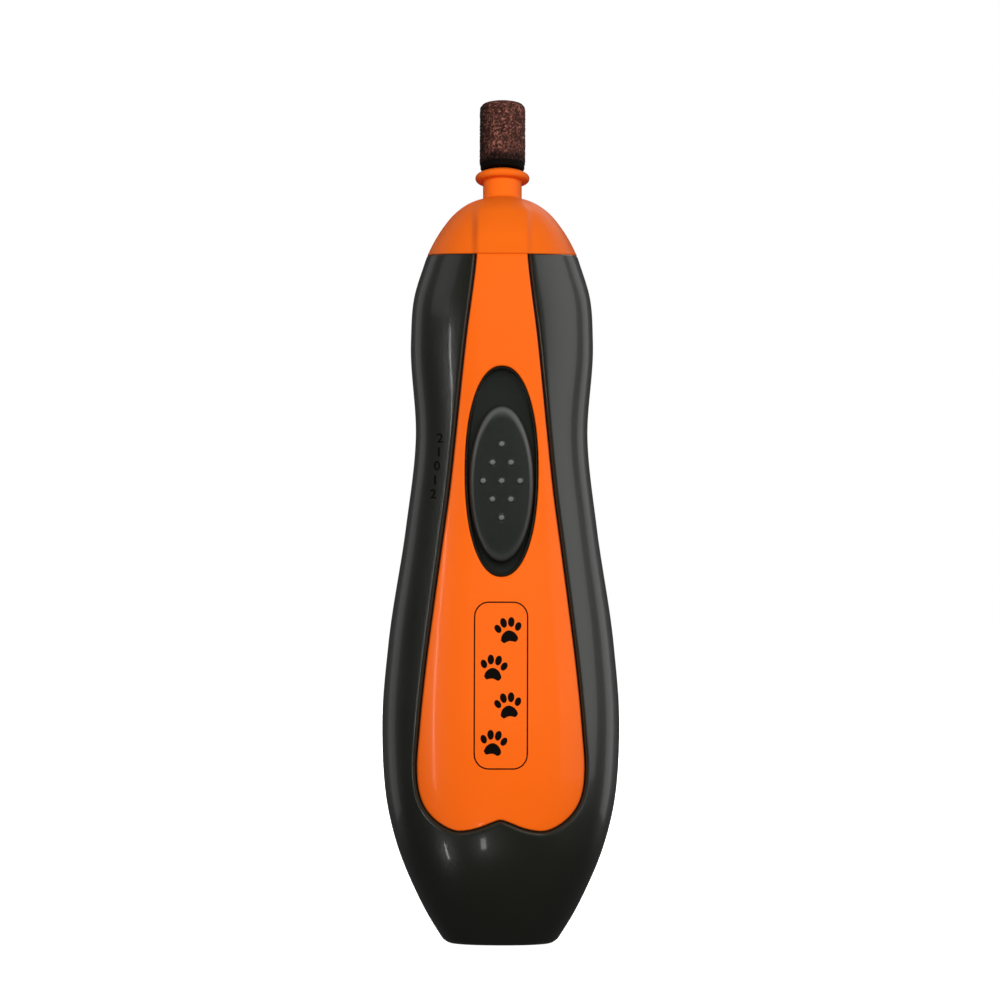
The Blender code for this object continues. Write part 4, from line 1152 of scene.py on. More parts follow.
def panel_seat():
    """The floor of the casing's recess, behind the panel."""
    line = closed_panel_line(-0.4)
    hole = (OVAL_HALF_WIDTH + 0.3, OVAL_HALF_LENGTH + 0.3)
    obj = polar_plate("panel_seat", line, hole, PANEL_RECESS, WALL - 0.1, 0.05, 12)
    return place(obj, inner_plastic(), "housing", "grip_plastic")


INK_LIFT = 0.03  # above the surface it is printed on


def add_print(bm, outline, middle):
    """A patch of ink on the front of the handle, filled from its outline to its middle."""
    loops = []
    for t in (1.0, 0.66, 0.33, 0.04):
        loops.append([on_face(FRONT, mixed(middle[0], x, t), mixed(middle[1], z, t), -INK_LIFT)
                      for x, z in outline])
    add_skin(bm, loops)
    add_cap(bm, loops[-1])


def ellipse(middle, half_width, half_height, lean):
    """An oval outline, leaning by an angle."""
    return [turned_by(middle, (half_width * math.cos(a), half_height * math.sin(a)), lean)
            for a in ring_angles(28)]


def turned_by(middle, point, turn):
    """A point round a middle, turned by an angle."""
    (x, z), c, s = point, math.cos(turn), math.sin(turn)
    return (middle[0] + x * c - z * s, middle[1] + x * s + z * c)


# A paw print about its middle: the right half of its pad, and its toes as (x, z, half-sizes, lean)
PAD_SIDE = [(0.5, -1.55), (1.2, -1.75), (1.75, -1.15), (1.45, -0.25), (0.75, 0.45)]
TOES = [(-2.05, 1.25, 0.62, 0.9, 0.45), (-0.78, 2.3, 0.66, 1.0, 0.15), (0.78, 2.3, 0.66, 1.0, -0.15),
        (2.05, 1.25, 0.62, 0.9, -0.45)]


def panel_print():
    """The plain frame on the panel and the trail of paw prints in it."""
    half_width, low, high, corner = 5.35, 36.5, 70.0, 2.9
    first_paw, pitch, stray, tilt = 41.0, 7.55, 1.55, 0.12
    line = sizes().print_line / MM
    bm = bmesh.new()
    rings = []
    for shift in (line / 2, -line / 2):
        ring = []
        for side in rounded_rectangle(half_width, low, high, corner, shift):
            ring += along(side, 40)[:-1]
        rings.append([on_face(FRONT, x, z, -INK_LIFT) for x, z in ring])
    add_skin(bm, rings)
    pad = [(-x, z) for x, z in reversed(PAD_SIDE[:3])] + [(0.0, -1.45)] + PAD_SIDE + [(0.0, 0.7)]
    pad += [(-x, z) for x, z in reversed(PAD_SIDE[3:])]
    pad = smooth_line([*pad, pad[0]], 4)[:-1]
    for number in range(4):
        side = (-1, 1)[number % 2]
        middle, turn = (side * stray, first_paw + pitch * number), side * tilt
        add_print(bm, [turned_by(middle, p, turn) for p in pad], turned_by(middle, (0.0, -0.6), turn))
        for across, up, toe_width, toe_height, lean in TOES:
            toe = turned_by(middle, (across, up), turn)
            add_print(bm, ellipse(toe, toe_width, toe_height, lean + turn), toe)
    return place(to_object("panel_print", bm), print_ink(), "housing", "orange_plastic")


# The speed figures, (text, distance from the middle, height)
FIGURES = (("2", -12.5, 103.0), ("1", -12.75, 100.2), ("0", -13.1, 97.4), ("1", -13.5, 94.5),
           ("2", -13.85, 91.7))
FIGURE_SIZE = 2.6
FIGURE_WEIGHT = 0.045  # added all round each stroke
FIGURE_LIFT = 0.035


def speed_figures():
    """The printed figures beside the switch, one for each of its stops."""
    bm = bmesh.new()
    for text, x, z in FIGURES:
        font = bpy.data.curves.new("figure", "FONT")
        font.body = text
        font.size = FIGURE_SIZE
        font.align_x = "CENTER"
        font.align_y = "CENTER"
        font.offset = FIGURE_WEIGHT
        letter = bpy.data.objects.new("figure", font)
        bpy.context.scene.collection.objects.link(letter)
        bpy.context.view_layer.update()
        mesh = bpy.data.meshes.new_from_object(letter.evaluated_get(bpy.context.evaluated_depsgraph_get()))
        bpy.data.objects.remove(letter)
        verts = [bm.verts.new(Vector(on_face(FRONT, x + v.co.x, z + v.co.y, -FIGURE_LIFT)) * MM)
                 for v in mesh.vertices]
        for face in mesh.polygons:
            bm.faces.new([verts[i] for i in face.vertices])
        bpy.data.meshes.remove(mesh)
    obj = to_object("speed_figures", bm)
    return place(obj, print_ink(), "housing", "grip_plastic")


# The nose

# The mouth of the collar, (radius, height up the drive line), from its rim down
MOUTH = [(2.95, 6.43), (2.72, 6.33), (2.62, 6.1), (2.6, 5.8), (2.6, 4.4), (3.2, 4.3), (3.2, -4.0)]


def nose_cap():
    """The nose: its skirt, the dome with the panel's ridge running up it, the neck, the collar and mouth."""
    count = 240
    loops = []
    for z in (137.0, 139.2, TOP + 0.1):
        loops.append([on_ring(a, z, WALL + 0.6) for a in ring_angles(count)])
    sections = smooth_line(NOSE_SECTIONS, 9)
    first = sections[0]
    for out, down in reversed(quarter(0.3, 3)):
        loops.append(nose_ring((first[0] - out, *first[1:]), count, down))
    for section_here in sections[1:]:
        loops.append(nose_ring(section_here, count))
    for radius, height in [*collar_profile(), *MOUTH]:
        loops.append(drive_ring(radius, height, count))
    obj = skin("nose", loops, "open", sharp=50.0)

    # Painted shade beside the ridge: strong along its left edge, faint along its right, fading out up the
    # dome.
    def creased(p):
        left = (1 - fade(abs(p.x + RIDGE_HALF_WIDTH + 0.1), 0.1, 0.9)) * fade(150.5 - p.z, 0.0, 4.0)
        right = (1 - fade(abs(p.x - RIDGE_HALF_WIDTH - 0.1), 0.1, 0.7)) * fade(149.5 - p.z, 0.0, 5.0) * 0.35
        return max(left, right) if p.y < 3.0 else 0.0

    mark(obj, "rim", creased)
    return place(obj, nose_plastic(), "housing", "orange_plastic", ["nose_cap"])


def collar_profile():
    """The neck, its crease under the collar, the collar's rounded edge and its shallow top."""
    profile = [(NECK_RADIUS, 0.5), (NECK_RADIUS, 1.8), (NECK_RADIUS, 3.5), (NECK_RADIUS, 4.02),
               (NECK_RADIUS + 0.06, 4.14), (NECK_RADIUS + 0.2, 4.2), (4.6, 4.28)]
    middle = COLLAR_RADIUS - COLLAR_ROUNDING
    for i in range(17):
        a = math.radians(mixed(-80, 75, i / 16))
        out, up = COLLAR_ROUNDING * math.cos(a), COLLAR_ROUNDING * math.sin(a)
        profile.append((middle + out, COLLAR_CENTRE + up))
    return profile + [(4.6, 6.12), (4.0, 6.33), (3.4, COLLAR_TOP)]


def on_ring(angle, z, inset):
    """The point of the handle's surface at an angle round it."""
    x, y = superellipse(angle, SQUARENESS)
    side = BACK if y > 0 else FRONT
    width, depth = section(z, side, inset)
    return (width * x, depth * y, z)


def nose_ring(section_here, count, inset=0.0):
    """One ring of the nose, leaning by its share, with the ridge down its front."""
    height, width, middle, depth, part = section_here
    lean = LEAN * part
    power = mixed(SQUARENESS, 2.0, part)
    ring = []
    for angle in ring_angles(count):
        x, y = superellipse(angle, power)
        across, run = (width - inset) * x, (depth - inset) * y
        if y < 0:
            rise = RIDGE_HEIGHT * (0.45 + 0.55 * fade(part, 0.0, 0.2)) * (1 - fade(part, 0.55, 0.97))
            arch = RIDGE_HALF_WIDTH * (1 - 0.25 * fade(part, 0.5, 0.95))
            run -= rise * (1 - fade(abs(across), arch - 0.6, arch + 1.0))
        ring.append((across, middle + run * math.cos(lean), height - run * math.sin(lean)))
    return ring


# The switch

def oval_loop(half_width, half_length, centre, power, y, count=160):
    points = [superellipse(a, power) for a in ring_angles(count)]
    return [(half_width * x, y, centre + half_length * z) for x, z in points]


def switch_tray():
    """The recess the button slides in: a rim that follows the panel, walls, and a floor with a slot."""
    outer, wall = 0.18, 0.5
    thickness, rise, play = 1.2, 0.4, 0.4

    def floor_loop(shrink, y):
        return oval_loop(OVAL_HALF_WIDTH - shrink, OVAL_HALF_LENGTH - shrink, OVAL_CENTRE, OVAL_POWER, y)

    def rim_loop(shrink, inset):
        return [on_face(FRONT, x, z, inset) for x, _, z in floor_loop(shrink, 0.0)]

    loops = [floor_loop(outer, TRAY_FLOOR + thickness), rim_loop(outer, 0.6)]
    loops += [rim_loop(outer + out, 0.5 - down) for down, out in reversed(quarter(0.12, 3))]
    loops += [rim_loop(wall - 0.1, 0.38), rim_loop(wall, 0.5)]
    wall += 0.05
    loops += [floor_loop(wall + out, TRAY_FLOOR - rise + down) for down, out in quarter(rise, 4)]
    slot_low = STEM_CENTRE - STEM_HALF_LENGTH - SWITCH_DOWN - play
    slot_high = STEM_CENTRE + STEM_HALF_LENGTH + SWITCH_UP + play
    slot = oval_loop(2.8, (slot_high - slot_low) / 2, (slot_low + slot_high) / 2, 9.0, TRAY_FLOOR)
    rim = loops[-1]
    for t in (0.35, 0.7, 0.96, 1.0):
        loops.append([(mixed(a[0], b[0], t), TRAY_FLOOR, mixed(a[2], b[2], t)) for a, b in zip(rim, slot)])
    loops.append([(x, TRAY_FLOOR + thickness, z) for x, _, z in slot])
    obj = skin("switch_tray", loops, "joined")
    return place(obj, tray_plastic(), "housing", "switch_plastic", ["switch_bezel"])


def thumb_button():
    """The button: an oval pad with rounded edges and nine grip dots, on its stem."""
    foot = TRAY_FLOOR - 0.3
    shoulder = BUTTON_FACE + BUTTON_CROWN

    def loop(shrink, y):
        half_width, half_length = BUTTON_HALF_WIDTH - shrink, BUTTON_HALF_LENGTH - shrink
        return oval_loop(half_width, half_length, BUTTON_CENTRE, BUTTON_POWER, y, 180)

    bm = bmesh.new()
    loops = [loop(0.5, foot), loop(0.12, foot), loop(0.0, foot - 0.12), loop(0.0, shoulder + BUTTON_ROUNDING)]
    for i in range(1, 9):
        a = math.pi / 2 * i / 8
        drop = BUTTON_ROUNDING * (1 - math.sin(a))
        loops.append(loop(BUTTON_ROUNDING * (1 - math.cos(a)), shoulder + drop))
    for i in range(1, 20):
        t = 1 - i / 20
        rise = BUTTON_CROWN * (1 - t**CROWN_POWER)
        loops.append([(x * t, y - rise, BUTTON_CENTRE + (z - BUTTON_CENTRE) * t)
                      for x, y, z in loop(BUTTON_ROUNDING, shoulder)])
    add_skin(bm, loops, "filled")
    for x, z in dot_places():
        add_dot(bm, x, z, face_height(x, z))
    stem_low = (-2.5, -13.4, STEM_CENTRE - STEM_HALF_LENGTH)
    add_block(bm, stem_low, (2.5, -10.3, STEM_CENTRE + STEM_HALF_LENGTH), 0.3)
    obj = to_object("thumb_button", bm)
    radius = sizes().dot_radius / MM

    # Where the dots' painted highlight goes.
    def dotted(p):
        reach = min(math.hypot(p.x - x, p.z - z) for x, z in dot_places())
        return 1 - fade(reach, radius * 0.75, radius * 1.05)

    # Where the rounded edge's painted highlight goes, stronger towards the top.
    def rimmed(p):
        size = (abs(p.x) / BUTTON_HALF_WIDTH) ** 2 + (abs(p.z - BUTTON_CENTRE) / BUTTON_HALF_LENGTH) ** 2
        return (fade(size, 0.74, 0.84) - fade(size, 0.9, 0.99)) * (0.25 + 0.75 * fade(p.z, 88.0, 104.0))

    mark(obj, "dot", dotted)
    mark(obj, "rim", rimmed)
    return place(obj, button_plastic(), "power_switch", "switch_plastic", ["switch_button"])


def face_height(x, z):
    """Where the button's domed face is at a point."""
    size = math.hypot(x / (BUTTON_HALF_WIDTH - BUTTON_ROUNDING),
                      (z - BUTTON_CENTRE) / (BUTTON_HALF_LENGTH - BUTTON_ROUNDING))
    return BUTTON_FACE + BUTTON_CROWN * size**CROWN_POWER


def dot_places():
    pitch = 3.72
    found = []
    for row, count in enumerate(DOT_ROWS):
        for column in range(count):
            found.append((pitch * (column - (count - 1) / 2), BUTTON_CENTRE + 0.6 + pitch * (2 - row)))
    return found


def add_dot(bm, x, z, y):
    """A low dome with a small fillet at its foot."""
    radius, height = sizes().dot_radius / MM, sizes().dot_height / MM
    profile = [(radius * 1.45, -0.03), (radius * 1.2, 0.03), (radius, 0.12)]
    for i in range(1, 8):
        a = math.pi / 2 * i / 8
        profile.append((radius * math.cos(a), 0.12 + (height - 0.12) * math.sin(a)))
    loops = []
    for r, h in [*profile, (0.01, height)]:
        loops.append([(x + r * math.cos(a), y - h, z + r * math.sin(a)) for a in ring_angles(24)])
    add_skin(bm, loops)


# The sanding bit

def sanding_band():
    """The abrasive sleeve: a rolled tube with its grains standing up, its top edge worn round."""
    count, rows = 300, 170
    grit = sizes().grit_height / MM
    inner = BAND_RADIUS - BAND_WALL
    outer = BAND_RADIUS - grit
    rounding, droop = 0.5, 1.1
    profile = [(inner, BAND_TOP - 0.1), (inner + 0.1, BAND_TOP - 0.02)]
    for i in range(1, 9):
        a = math.radians(90) * (1 - i / 8)
        profile.append((outer - rounding + rounding * math.cos(a), BAND_TOP + droop * (math.sin(a) - 1)))
    profile += [(outer, mixed(BAND_TOP - droop, BAND_BOTTOM + 0.1, i / rows)) for i in range(1, rows + 1)]
    profile += [(outer - 0.1, BAND_BOTTOM), (inner, BAND_BOTTOM)]
    loops = []
    for radius, height in profile:
        ring = []
        for a in ring_angles(count):
            spot = Vector((radius * math.cos(a), radius * math.sin(a), height))
            lump = 0.0
            if radius > inner + 0.2:
                lump = grit * (0.5 + 0.75 * noise.noise(spot * 2.6) + 0.5 * noise.noise(spot * 6.3))
                lump += 0.05 * noise.noise(spot * 0.6)
            reach = min(BAND_RADIUS, radius + lump)
            ring.append(drive_point(reach * math.cos(a), reach * math.sin(a), height))
        loops.append(ring)
    obj = skin("sanding_sleeve", loops, "joined", sharp=180.0)
    way = Vector((0.0, math.sin(LEAN), math.cos(LEAN)))

    # Painted shade: darker towards the band's foot and on its left side.
    def dark(p):
        height = (p - Vector(DRIVE_POINT)).dot(way)
        side = p.x + 0.9 * noise.noise(p * 0.5)
        foot = 1 - fade(height + 0.9 * noise.noise(p * 1.1), BAND_BOTTOM + 0.5, BAND_BOTTOM + 2.8)
        return max(foot, 0.85 * (1 - fade(side, -4.6, -1.8)))

    mark(obj, "foot", dark)
    return place(obj, abrasive(), "abrasive_sleeve", "abrasive", ["sanding_band"])


def drum_core():
    """The rubber drum: a thick foot that the band rests on, and a body inside it, swollen at its end."""
    body = BAND_RADIUS - BAND_WALL - 0.12
    top, flange_top = BAND_TOP - 0.6, BAND_BOTTOM - 0.06
    bore = SHANK_RADIUS + 0.15
    profile = [(bore, DRUM_BOTTOM + 0.15), (DRUM_FLANGE - 0.5, DRUM_BOTTOM),
               (DRUM_FLANGE - 0.15, DRUM_BOTTOM + 0.12), (DRUM_FLANGE, DRUM_BOTTOM + 0.4),
               (DRUM_FLANGE, flange_top - 0.04), (DRUM_FLANGE - 0.04, flange_top), (body, flange_top),
               (body, top - 0.6), (body - 0.08, top - 0.25), (body - 0.38, top - 0.06), (2.9, top),
               (2.0, top - 0.02), (bore, top - 0.1)]
    obj = skin("drum_core", [drive_ring(r, h, 72) for r, h in profile], "joined")
    return place(obj, rubber(), "sanding_bit", "rubber", ["rubber_drum"])


def clamp_screw():
    """The slotted screw that swells the drum."""
    top = BAND_TOP
    profile = [(0, top - 3.0), (1.0, top - 3.0), (1.0, top - 0.35), (2.45, top - 0.35), (2.6, top - 0.25),
               (2.6, top - 0.02), (2.45, top + 0.16), (1.9, top + 0.33), (1.1, top + 0.42), (0, top + 0.45)]
    obj = turned("drum_screw", profile, drive_point, 56)
    slot = bmesh.new()
    add_block(slot, (-3.2, -0.32, -0.3), (3.2, 0.32, 1.0))
    lean = Matrix.Rotation(-LEAN, 4, "X")
    spot = Vector(drive_point(0.0, 0.0, top + 0.1)) * MM
    bmesh.ops.transform(slot, matrix=Matrix.Translation(spot) @ lean, verts=slot.verts)
    carve(obj, to_object("slot_cutter", slot), 30)
    return place(obj, steel(), "sanding_bit", "steel", ["clamp_screw"])


def mandrel():
    """The steel shank, its shoulder under the drum and its rounded end."""
    radius, groove, top = SHANK_RADIUS, 1.02, SHOULDER_TOP
    profile = [(0, -8.3), (0.7, -8.25), (1.0, -8.05), (radius, -7.75), (radius, -4.2), (groove, -4.0),
               (groove, -3.2), (radius, -3.0), (radius, top - 0.65), (2.15, top - 0.6), (2.3, top - 0.45),
               (2.3, top - 0.15), (2.15, top), (radius, top), (radius, 16.6), (0, 16.7)]
    obj = turned("mandrel", profile, drive_point, 40)
    return place(obj, steel(), "sanding_bit", "steel", ["mandrel_shank"])


# The screws, the cells and the springs

def casing_screws():
    """Six cross-recessed pan-head screws."""
    profile = [(0, -6.2), (0.45, -6.1), (0.95, -5.2), (1.1, -4.8), (1.1, 5.3), (1.85, 5.3), (2.0, 5.42),
               (1.98, 5.9), (1.75, 6.35), (1.2, 6.68), (0.5, 6.8), (0, 6.8)]
    for number, (x, z) in enumerate(screw_spots(), 1):
        obj = turned(f"casing_screw_{number}", profile, along_screw(x, z), 40)
        twist = math.radians(23 * number)
        for turn in (0.0, math.pi / 2):
            groove = bmesh.new()
            add_block(groove, (-1.15, 5.7, -0.2), (1.15, 8.0, 0.2))
            matrix = Matrix.Translation(Vector((x, 0, z)) * MM) @ Matrix.Rotation(turn + twist, 4, "Y")
            bmesh.ops.transform(groove, matrix=matrix, verts=groove.verts)
            carve(obj, to_object("groove_cutter", groove), 30)
        place(obj, steel(), "housing", "steel", [f"shell_screw_{number}"])


CELLS = (("front_left", -1, -1), ("front_right", 1, -1), ("rear_left", -1, 1), ("rear_right", 1, 1))


def cells():
    """Four cells with rolled ends, insulating rings and nubs, in a printed film."""
    for name, side, row in CELLS:
        low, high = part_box(f"cell_{name}")
        low, high = low.z / MM, high.z / MM
        nub_up = side * row > 0
        x, y = side * CELL_SPACING, row * CELL_SPACING
        size, r = high - low, CELL_RADIUS
        profile = [(0, 0.12), (4.6, 0.12), (5.2, 0.0), (5.7, 0.12), (6.3, 0.1), (6.75, 0.22), (6.95, 0.5),
                   (r - 0.06, 1.0), (r, 1.15), (r, size - 2.6), (r - 0.06, size - 2.4), (6.8, size - 2.0),
                   (6.4, size - 1.62), (5.8, size - 1.5), (5.4, size - 1.62), (3.1, size - 1.62),
                   (2.75, size - 1.35), (2.7, size - 0.35), (2.45, size - 0.08), (2.0, size), (0, size)]
        loops = []
        for radius, height in profile:
            z = low + height if nub_up else high - height
            reach = max(radius, 0.001)
            loops.append([(x + reach * math.cos(a), y + reach * math.sin(a), z) for a in ring_angles(72)])
        obj = skin(f"battery_{name}", loops, "filled")
        top = high if nub_up else low

        def banded(p):
            reach = abs(p.z - top)
            pale = reach < 13.0 or reach > size - 0.9 or math.hypot(p.x - x, p.y - y) < 6.5
            return float(pale)

        mark(obj, "band", banded)
        place(obj, cell_wrap(), "housing", "cell_wrap", [f"cell_{name}"])


def springs():
    """The conical contact springs, wound from round wire with a flat last turn at the foot."""
    for name, side, row in CELLS:
        low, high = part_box(f"spring_{name}")
        nub_up = side * row > 0
        low, high = low.z / MM, high.z / MM
        wire, turns, flat, count = 0.28, 3.0, 0.18, 150
        foot, tip = (low + wire, high - wire) if nub_up else (high - wire, low + wire)
        loops = []
        for i in range(count + 1):
            t = i / count
            a = 2 * math.pi * turns * t
            reach = 4.6 - 2.4 * t
            rise = fade(t, flat, 1.0) * 0.6 + 0.4 * max(0.0, (t - flat) / (1 - flat))
            out = Vector((math.cos(a), math.sin(a), 0.0))
            axis = Vector((side * CELL_SPACING, row * CELL_SPACING, mixed(foot, tip, rise)))
            spot = axis + out * reach
            loops.append([spot + wire * (out * math.cos(b) + UP * math.sin(b)) for b in ring_angles(12)])
        obj = skin(f"contact_spring_{name}", loops, "filled")
        place(obj, spring_steel(), "housing", "spring_steel", [f"spring_{name}"])


INSIDE = {
    inner_plastic: ("battery_cradle", "slide_switch_body", "motor_end_cap", "bearing_carrier"),
    steel: ("motor_can", "motor_shaft", "armature_core", "spindle", "motor_screw_left", "motor_screw_right"),
    spring_steel: ("bottom_link_left", "bottom_link_right", "top_link", "terminal_left", "terminal_right"),
    copper: ("armature_winding", "commutator", "motor_brush_left", "motor_brush_right"),
    sintered_bronze: ("front_bush", "rear_bush"),
    ferrite: ("motor_magnet_left", "motor_magnet_right"),
    rubber: ("coupling_sleeve",),
    felt: ("dust_felt",),
    circuit_board: ("circuit_board",),
    ceramic: ("speed_resistor", "noise_capacitor"),
    red_insulation: ("battery_lead_red", "motor_lead_red", "slide_switch_lever"),
    black_insulation: ("battery_lead_black", "motor_lead_black"),
}


def inside_finishes():
    """Gives the working parts inside the casing their finishes, and rounds their edges a little."""
    for material, nodes in INSIDE.items():
        for node in nodes:
            obj = frame["nodes"][node]
            obj.data.materials.clear()
            obj.data.materials.append(material())
            weld = obj.modifiers.new("weld", "WELD")
            weld.merge_threshold = 0.002 * MM
            soften = obj.modifiers.new("soften", "BEVEL")
            soften.width = 0.12 * MM
            soften.segments = 2
            soften.limit_method = "ANGLE"
            soften.angle_limit = math.radians(40)
            soften.harden_normals = True


# The stage

WHITE = (1.0, 1.0, 1.0, 1.0)
FLOOR_RADIUS = 3.0
FLOOR_DROP = 0.0002  # below the handle's foot
ROOM_LIGHT = 0.06  # what the background adds all round
SENSOR_WIDTH = 36.0
NEAR_CLIP = 0.01
TOOL_MIDDLE = (0.0, 0.0, 0.08)

# The lights: name, size, place, what it points at, the setting its power comes from and its share of that.
# Flat lights give no highlights, sheens give nothing else, and open lights give both.
LIGHTS = {
    "flat": [("key", (1.2, 0.9), (0.1, -1.15, 0.48), TOOL_MIDDLE, "key", 1.0),
             ("back", (1.0, 0.8), (-0.2, 1.1, 0.6), TOOL_MIDDLE, "key", 0.6)],
    "sheen": [("side_right", (0.2, 0.3), (0.17, -0.075, 0.15), (0.0, -0.01, 0.1), "side", 1.0),
              ("side_left", (0.12, 0.14), (-0.17, -0.06, 0.22), (0.0, 0.0, 0.14), "side", 0.12),
              ("strip_left", (0.005, 0.13), (-0.125, -0.105, 0.075), (0.0, 0.0, 0.075), "strip", 1.0),
              ("low_streak", (0.0015, 0.008), (-0.032, -0.034, 0.0055), (-0.0112, -0.0165, 0.019),
               "strip", 0.015),
              ("low_glint", (0.004, 0.006), (-0.0107, -0.06, 0.0044), (-0.004, -0.02, 0.0205),
               "strip", 0.02)],
    "open": [("back_sheen", (0.25, 0.25), (0.25, 0.6, 0.55), TOOL_MIDDLE, "back", 0.5),
             ("rim_left", (0.25, 0.8), (-0.5, 0.36, 0.25), TOOL_MIDDLE, "back", 0.32),
             ("rim_right", (0.25, 0.8), (0.5, 0.36, 0.25), TOOL_MIDDLE, "back", 0.6)],
}


def add_light(name, size, spot, aim, power):
    light = bpy.data.lights.new(name, "AREA")
    light.shape = "RECTANGLE"
    light.size, light.size_y = size
    light.energy = power
    obj = bpy.data.objects.new(name, light)
    obj.location = spot
    obj.rotation_euler = (Vector(aim) - Vector(spot)).to_track_quat("-Z", "Y").to_euler()
    bpy.context.scene.collection.objects.link(obj)
    return obj


def lights(settings):
    for kind, rows in LIGHTS.items():
        for name, size, spot, aim, setting, part in rows:
            light = add_light(name, size, spot, aim, getattr(settings, setting) * part)
            light.visible_glossy = kind != "flat"
            light.visible_diffuse = kind != "sheen"


def white_floor():
    bm = bmesh.new()
    bmesh.ops.create_circle(bm, cap_ends=True, segments=96, radius=FLOOR_RADIUS)
    floor = to_object("floor", bm)
    recipe = Recipe("floor_white")
    recipe.set(Base_Color=recipe.mix(recipe.noise(30.0), (0.86, 0.86, 0.86), (0.9, 0.9, 0.9)), Roughness=0.9,
               Emission_Color=WHITE, Emission_Strength=1.0)
    floor.data.materials.append(recipe.material)
    floor.location.z = -FLOOR_DROP
    floor.visible_glossy = False
    floor.visible_diffuse = False


def white_room():
    """A background that is white to the camera and adds only a little light."""
    world = bpy.data.worlds.new("white_room")
    world.use_nodes = True
    bpy.context.scene.world = world
    tree = world.node_tree
    seen = tree.nodes["Background"]
    around = tree.nodes.new("ShaderNodeBackground")
    for node, strength in ((seen, 1.0), (around, ROOM_LIGHT)):
        node.inputs["Color"].default_value = WHITE
        node.inputs["Strength"].default_value = strength
    path = tree.nodes.new("ShaderNodeLightPath")
    either = tree.nodes.new("ShaderNodeMixShader")
    tree.links.new(path.outputs["Is Camera Ray"], either.inputs["Fac"])
    tree.links.new(around.outputs["Background"], either.inputs[1])
    tree.links.new(seen.outputs["Background"], either.inputs[2])
    tree.links.new(either.outputs["Shader"], tree.nodes["World Output"].inputs["Surface"])


def front_camera(settings):
    scene = bpy.context.scene
    camera = bpy.data.cameras.new("camera")
    camera.lens = settings.lens
    camera.sensor_width = SENSOR_WIDTH
    camera.clip_start = NEAR_CLIP
    view = bpy.data.objects.new("camera", camera)
    view.location = (settings.camera_side, -settings.camera_distance, settings.camera_height)
    view.rotation_euler = (math.pi / 2, settings.camera_roll, 0.0)
    scene.collection.objects.link(view)
    scene.camera = view
    scene.view_settings.view_transform = "Standard"


def stage():
    """A white floor and background, soft lights and the camera."""
    scene = bpy.context.scene
    for obj in list(scene.objects):
        if obj.type in {"LIGHT", "CAMERA"} or obj.name == "Cube":
            bpy.data.objects.remove(obj)
    white_floor()
    white_room()
    lights(scene.grinder_stage)
    front_camera(scene.grinder_stage)


# The operators and the panel

class GRINDER_OT_Stage(bpy.types.Operator):
    """Lays the floor, hangs the lights and sets the camera"""

    bl_idname = "grinder.stage"
    bl_label = "Stage"
    bl_options = {"REGISTER", "UNDO"}

    def execute(self, context):
        stage()
        return {"FINISHED"}


class GRINDER_OT_FrontCasing(bpy.types.Operator):
    """Builds the front half of the casing with its rolled lip"""

    bl_idname = "grinder.front_casing"
    bl_label = "Front Casing"
    bl_options = {"REGISTER", "UNDO"}

    def execute(self, context):
        front_casing()
        return {"FINISHED"}


class GRINDER_OT_RearCasing(bpy.types.Operator):
    """Builds the rear half of the casing and the wells of its screws"""

    bl_idname = "grinder.rear_casing"
    bl_label = "Rear Casing"
    bl_options = {"REGISTER", "UNDO"}

    def execute(self, context):
        rear_casing()
        screw_wells()
        return {"FINISHED"}


class GRINDER_OT_BatteryDoor(bpy.types.Operator):
    """Builds the battery door with its thumb grip and hook"""

    bl_idname = "grinder.battery_door"
    bl_label = "Battery Door"
    bl_options = {"REGISTER", "UNDO"}

    def execute(self, context):
        battery_door()
        return {"FINISHED"}


class GRINDER_OT_FrontPanel(bpy.types.Operator):
    """Builds the orange panel and the seat behind it"""

    bl_idname = "grinder.front_panel"
    bl_label = "Front Panel"
    bl_options = {"REGISTER", "UNDO"}

    def execute(self, context):
        front_panel()
        panel_seat()
        return {"FINISHED"}


class GRINDER_OT_Printing(bpy.types.Operator):
    """Prints the frame, the paw prints and the speed figures"""

    bl_idname = "grinder.printing"
    bl_label = "Printing"
    bl_options = {"REGISTER", "UNDO"}

    def execute(self, context):
        panel_print()
        speed_figures()
        return {"FINISHED"}


class GRINDER_OT_Nose(bpy.types.Operator):
    """Builds the nose with its ridge, neck and collar"""

    bl_idname = "grinder.nose"
    bl_label = "Nose"
    bl_options = {"REGISTER", "UNDO"}

    def execute(self, context):
        nose_cap()
        return {"FINISHED"}


class GRINDER_OT_Switch(bpy.types.Operator):
    """Builds the recess and the thumb button"""

    bl_idname = "grinder.switch"
    bl_label = "Switch"
    bl_options = {"REGISTER", "UNDO"}

    def execute(self, context):
        switch_tray()
        thumb_button()
        return {"FINISHED"}


class GRINDER_OT_SandingBit(bpy.types.Operator):
    """Builds the sleeve, the drum, its screw and its shank"""

    bl_idname = "grinder.sanding_bit"
    bl_label = "Sanding Bit"
    bl_options = {"REGISTER", "UNDO"}

    def execute(self, context):
        sanding_band()
        drum_core()
        clamp_screw()
        mandrel()
        return {"FINISHED"}


class GRINDER_OT_CasingScrews(bpy.types.Operator):
    """Builds the six screws in the back"""

    bl_idname = "grinder.casing_screws"
    bl_label = "Casing Screws"
    bl_options = {"REGISTER", "UNDO"}

    def execute(self, context):
        casing_screws()
        return {"FINISHED"}


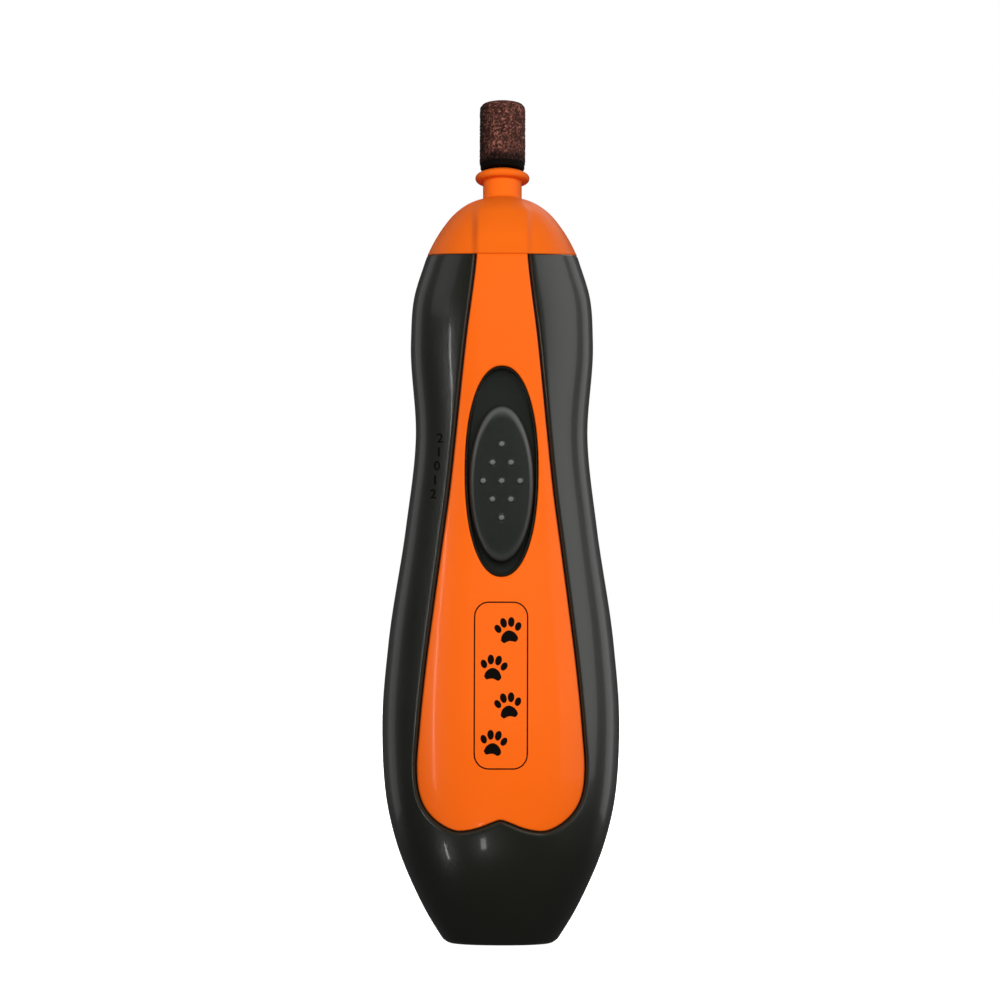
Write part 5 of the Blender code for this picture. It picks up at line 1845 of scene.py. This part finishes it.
class GRINDER_OT_Cells(bpy.types.Operator):
    """Builds the four cells and their contact springs"""

    bl_idname = "grinder.cells"
    bl_label = "Cells and Springs"
    bl_options = {"REGISTER", "UNDO"}

    def execute(self, context):
        cells()
        springs()
        return {"FINISHED"}


class GRINDER_OT_Inside(bpy.types.Operator):
    """Gives the working parts inside their finishes"""

    bl_idname = "grinder.inside"
    bl_label = "Inside Finishes"
    bl_options = {"REGISTER", "UNDO"}

    def execute(self, context):
        inside_finishes()
        return {"FINISHED"}


OPERATORS = (
    GRINDER_OT_Stage,
    GRINDER_OT_FrontCasing,
    GRINDER_OT_RearCasing,
    GRINDER_OT_BatteryDoor,
    GRINDER_OT_FrontPanel,
    GRINDER_OT_Printing,
    GRINDER_OT_Nose,
    GRINDER_OT_Switch,
    GRINDER_OT_SandingBit,
    GRINDER_OT_CasingScrews,
    GRINDER_OT_Cells,
    GRINDER_OT_Inside,
)


class GRINDER_PT_Sidebar(bpy.types.Panel):
    """Lists the settings and the steps that build the grinder"""

    bl_idname = "GRINDER_PT_sidebar"
    bl_label = "Pet Nail Grinder"
    bl_space_type = "VIEW_3D"
    bl_region_type = "UI"
    bl_category = "Grinder"

    def draw(self, context):
        scene = context.scene
        for heading, group in (("Colours", scene.grinder_colours), ("Sizes", scene.grinder_sizes),
                               ("Stage", scene.grinder_stage)):
            box = self.layout.box()
            box.label(text=heading)
            for name in type(group).__annotations__:
                box.prop(group, name)
        column = self.layout.column(align=True)
        for operator in OPERATORS:
            column.operator(operator.bl_idname)


GROUPS = {"grinder_colours": GrinderColours, "grinder_sizes": GrinderSizes, "grinder_stage": GrinderStage}


def register():
    for name, group in GROUPS.items():
        bpy.utils.register_class(group)
        setattr(bpy.types.Scene, name, PointerProperty(type=group))
    for cls in (*OPERATORS, GRINDER_PT_Sidebar):
        bpy.utils.register_class(cls)


def unregister():
    for cls in (GRINDER_PT_Sidebar, *reversed(OPERATORS)):
        bpy.utils.unregister_class(cls)
    for name, group in GROUPS.items():
        delattr(bpy.types.Scene, name)
        bpy.utils.unregister_class(group)


def main():
    register()
    for operator in OPERATORS:
        getattr(bpy.ops.grinder, operator.bl_idname.split(".")[1])()


if __name__ == "__main__":
    main()
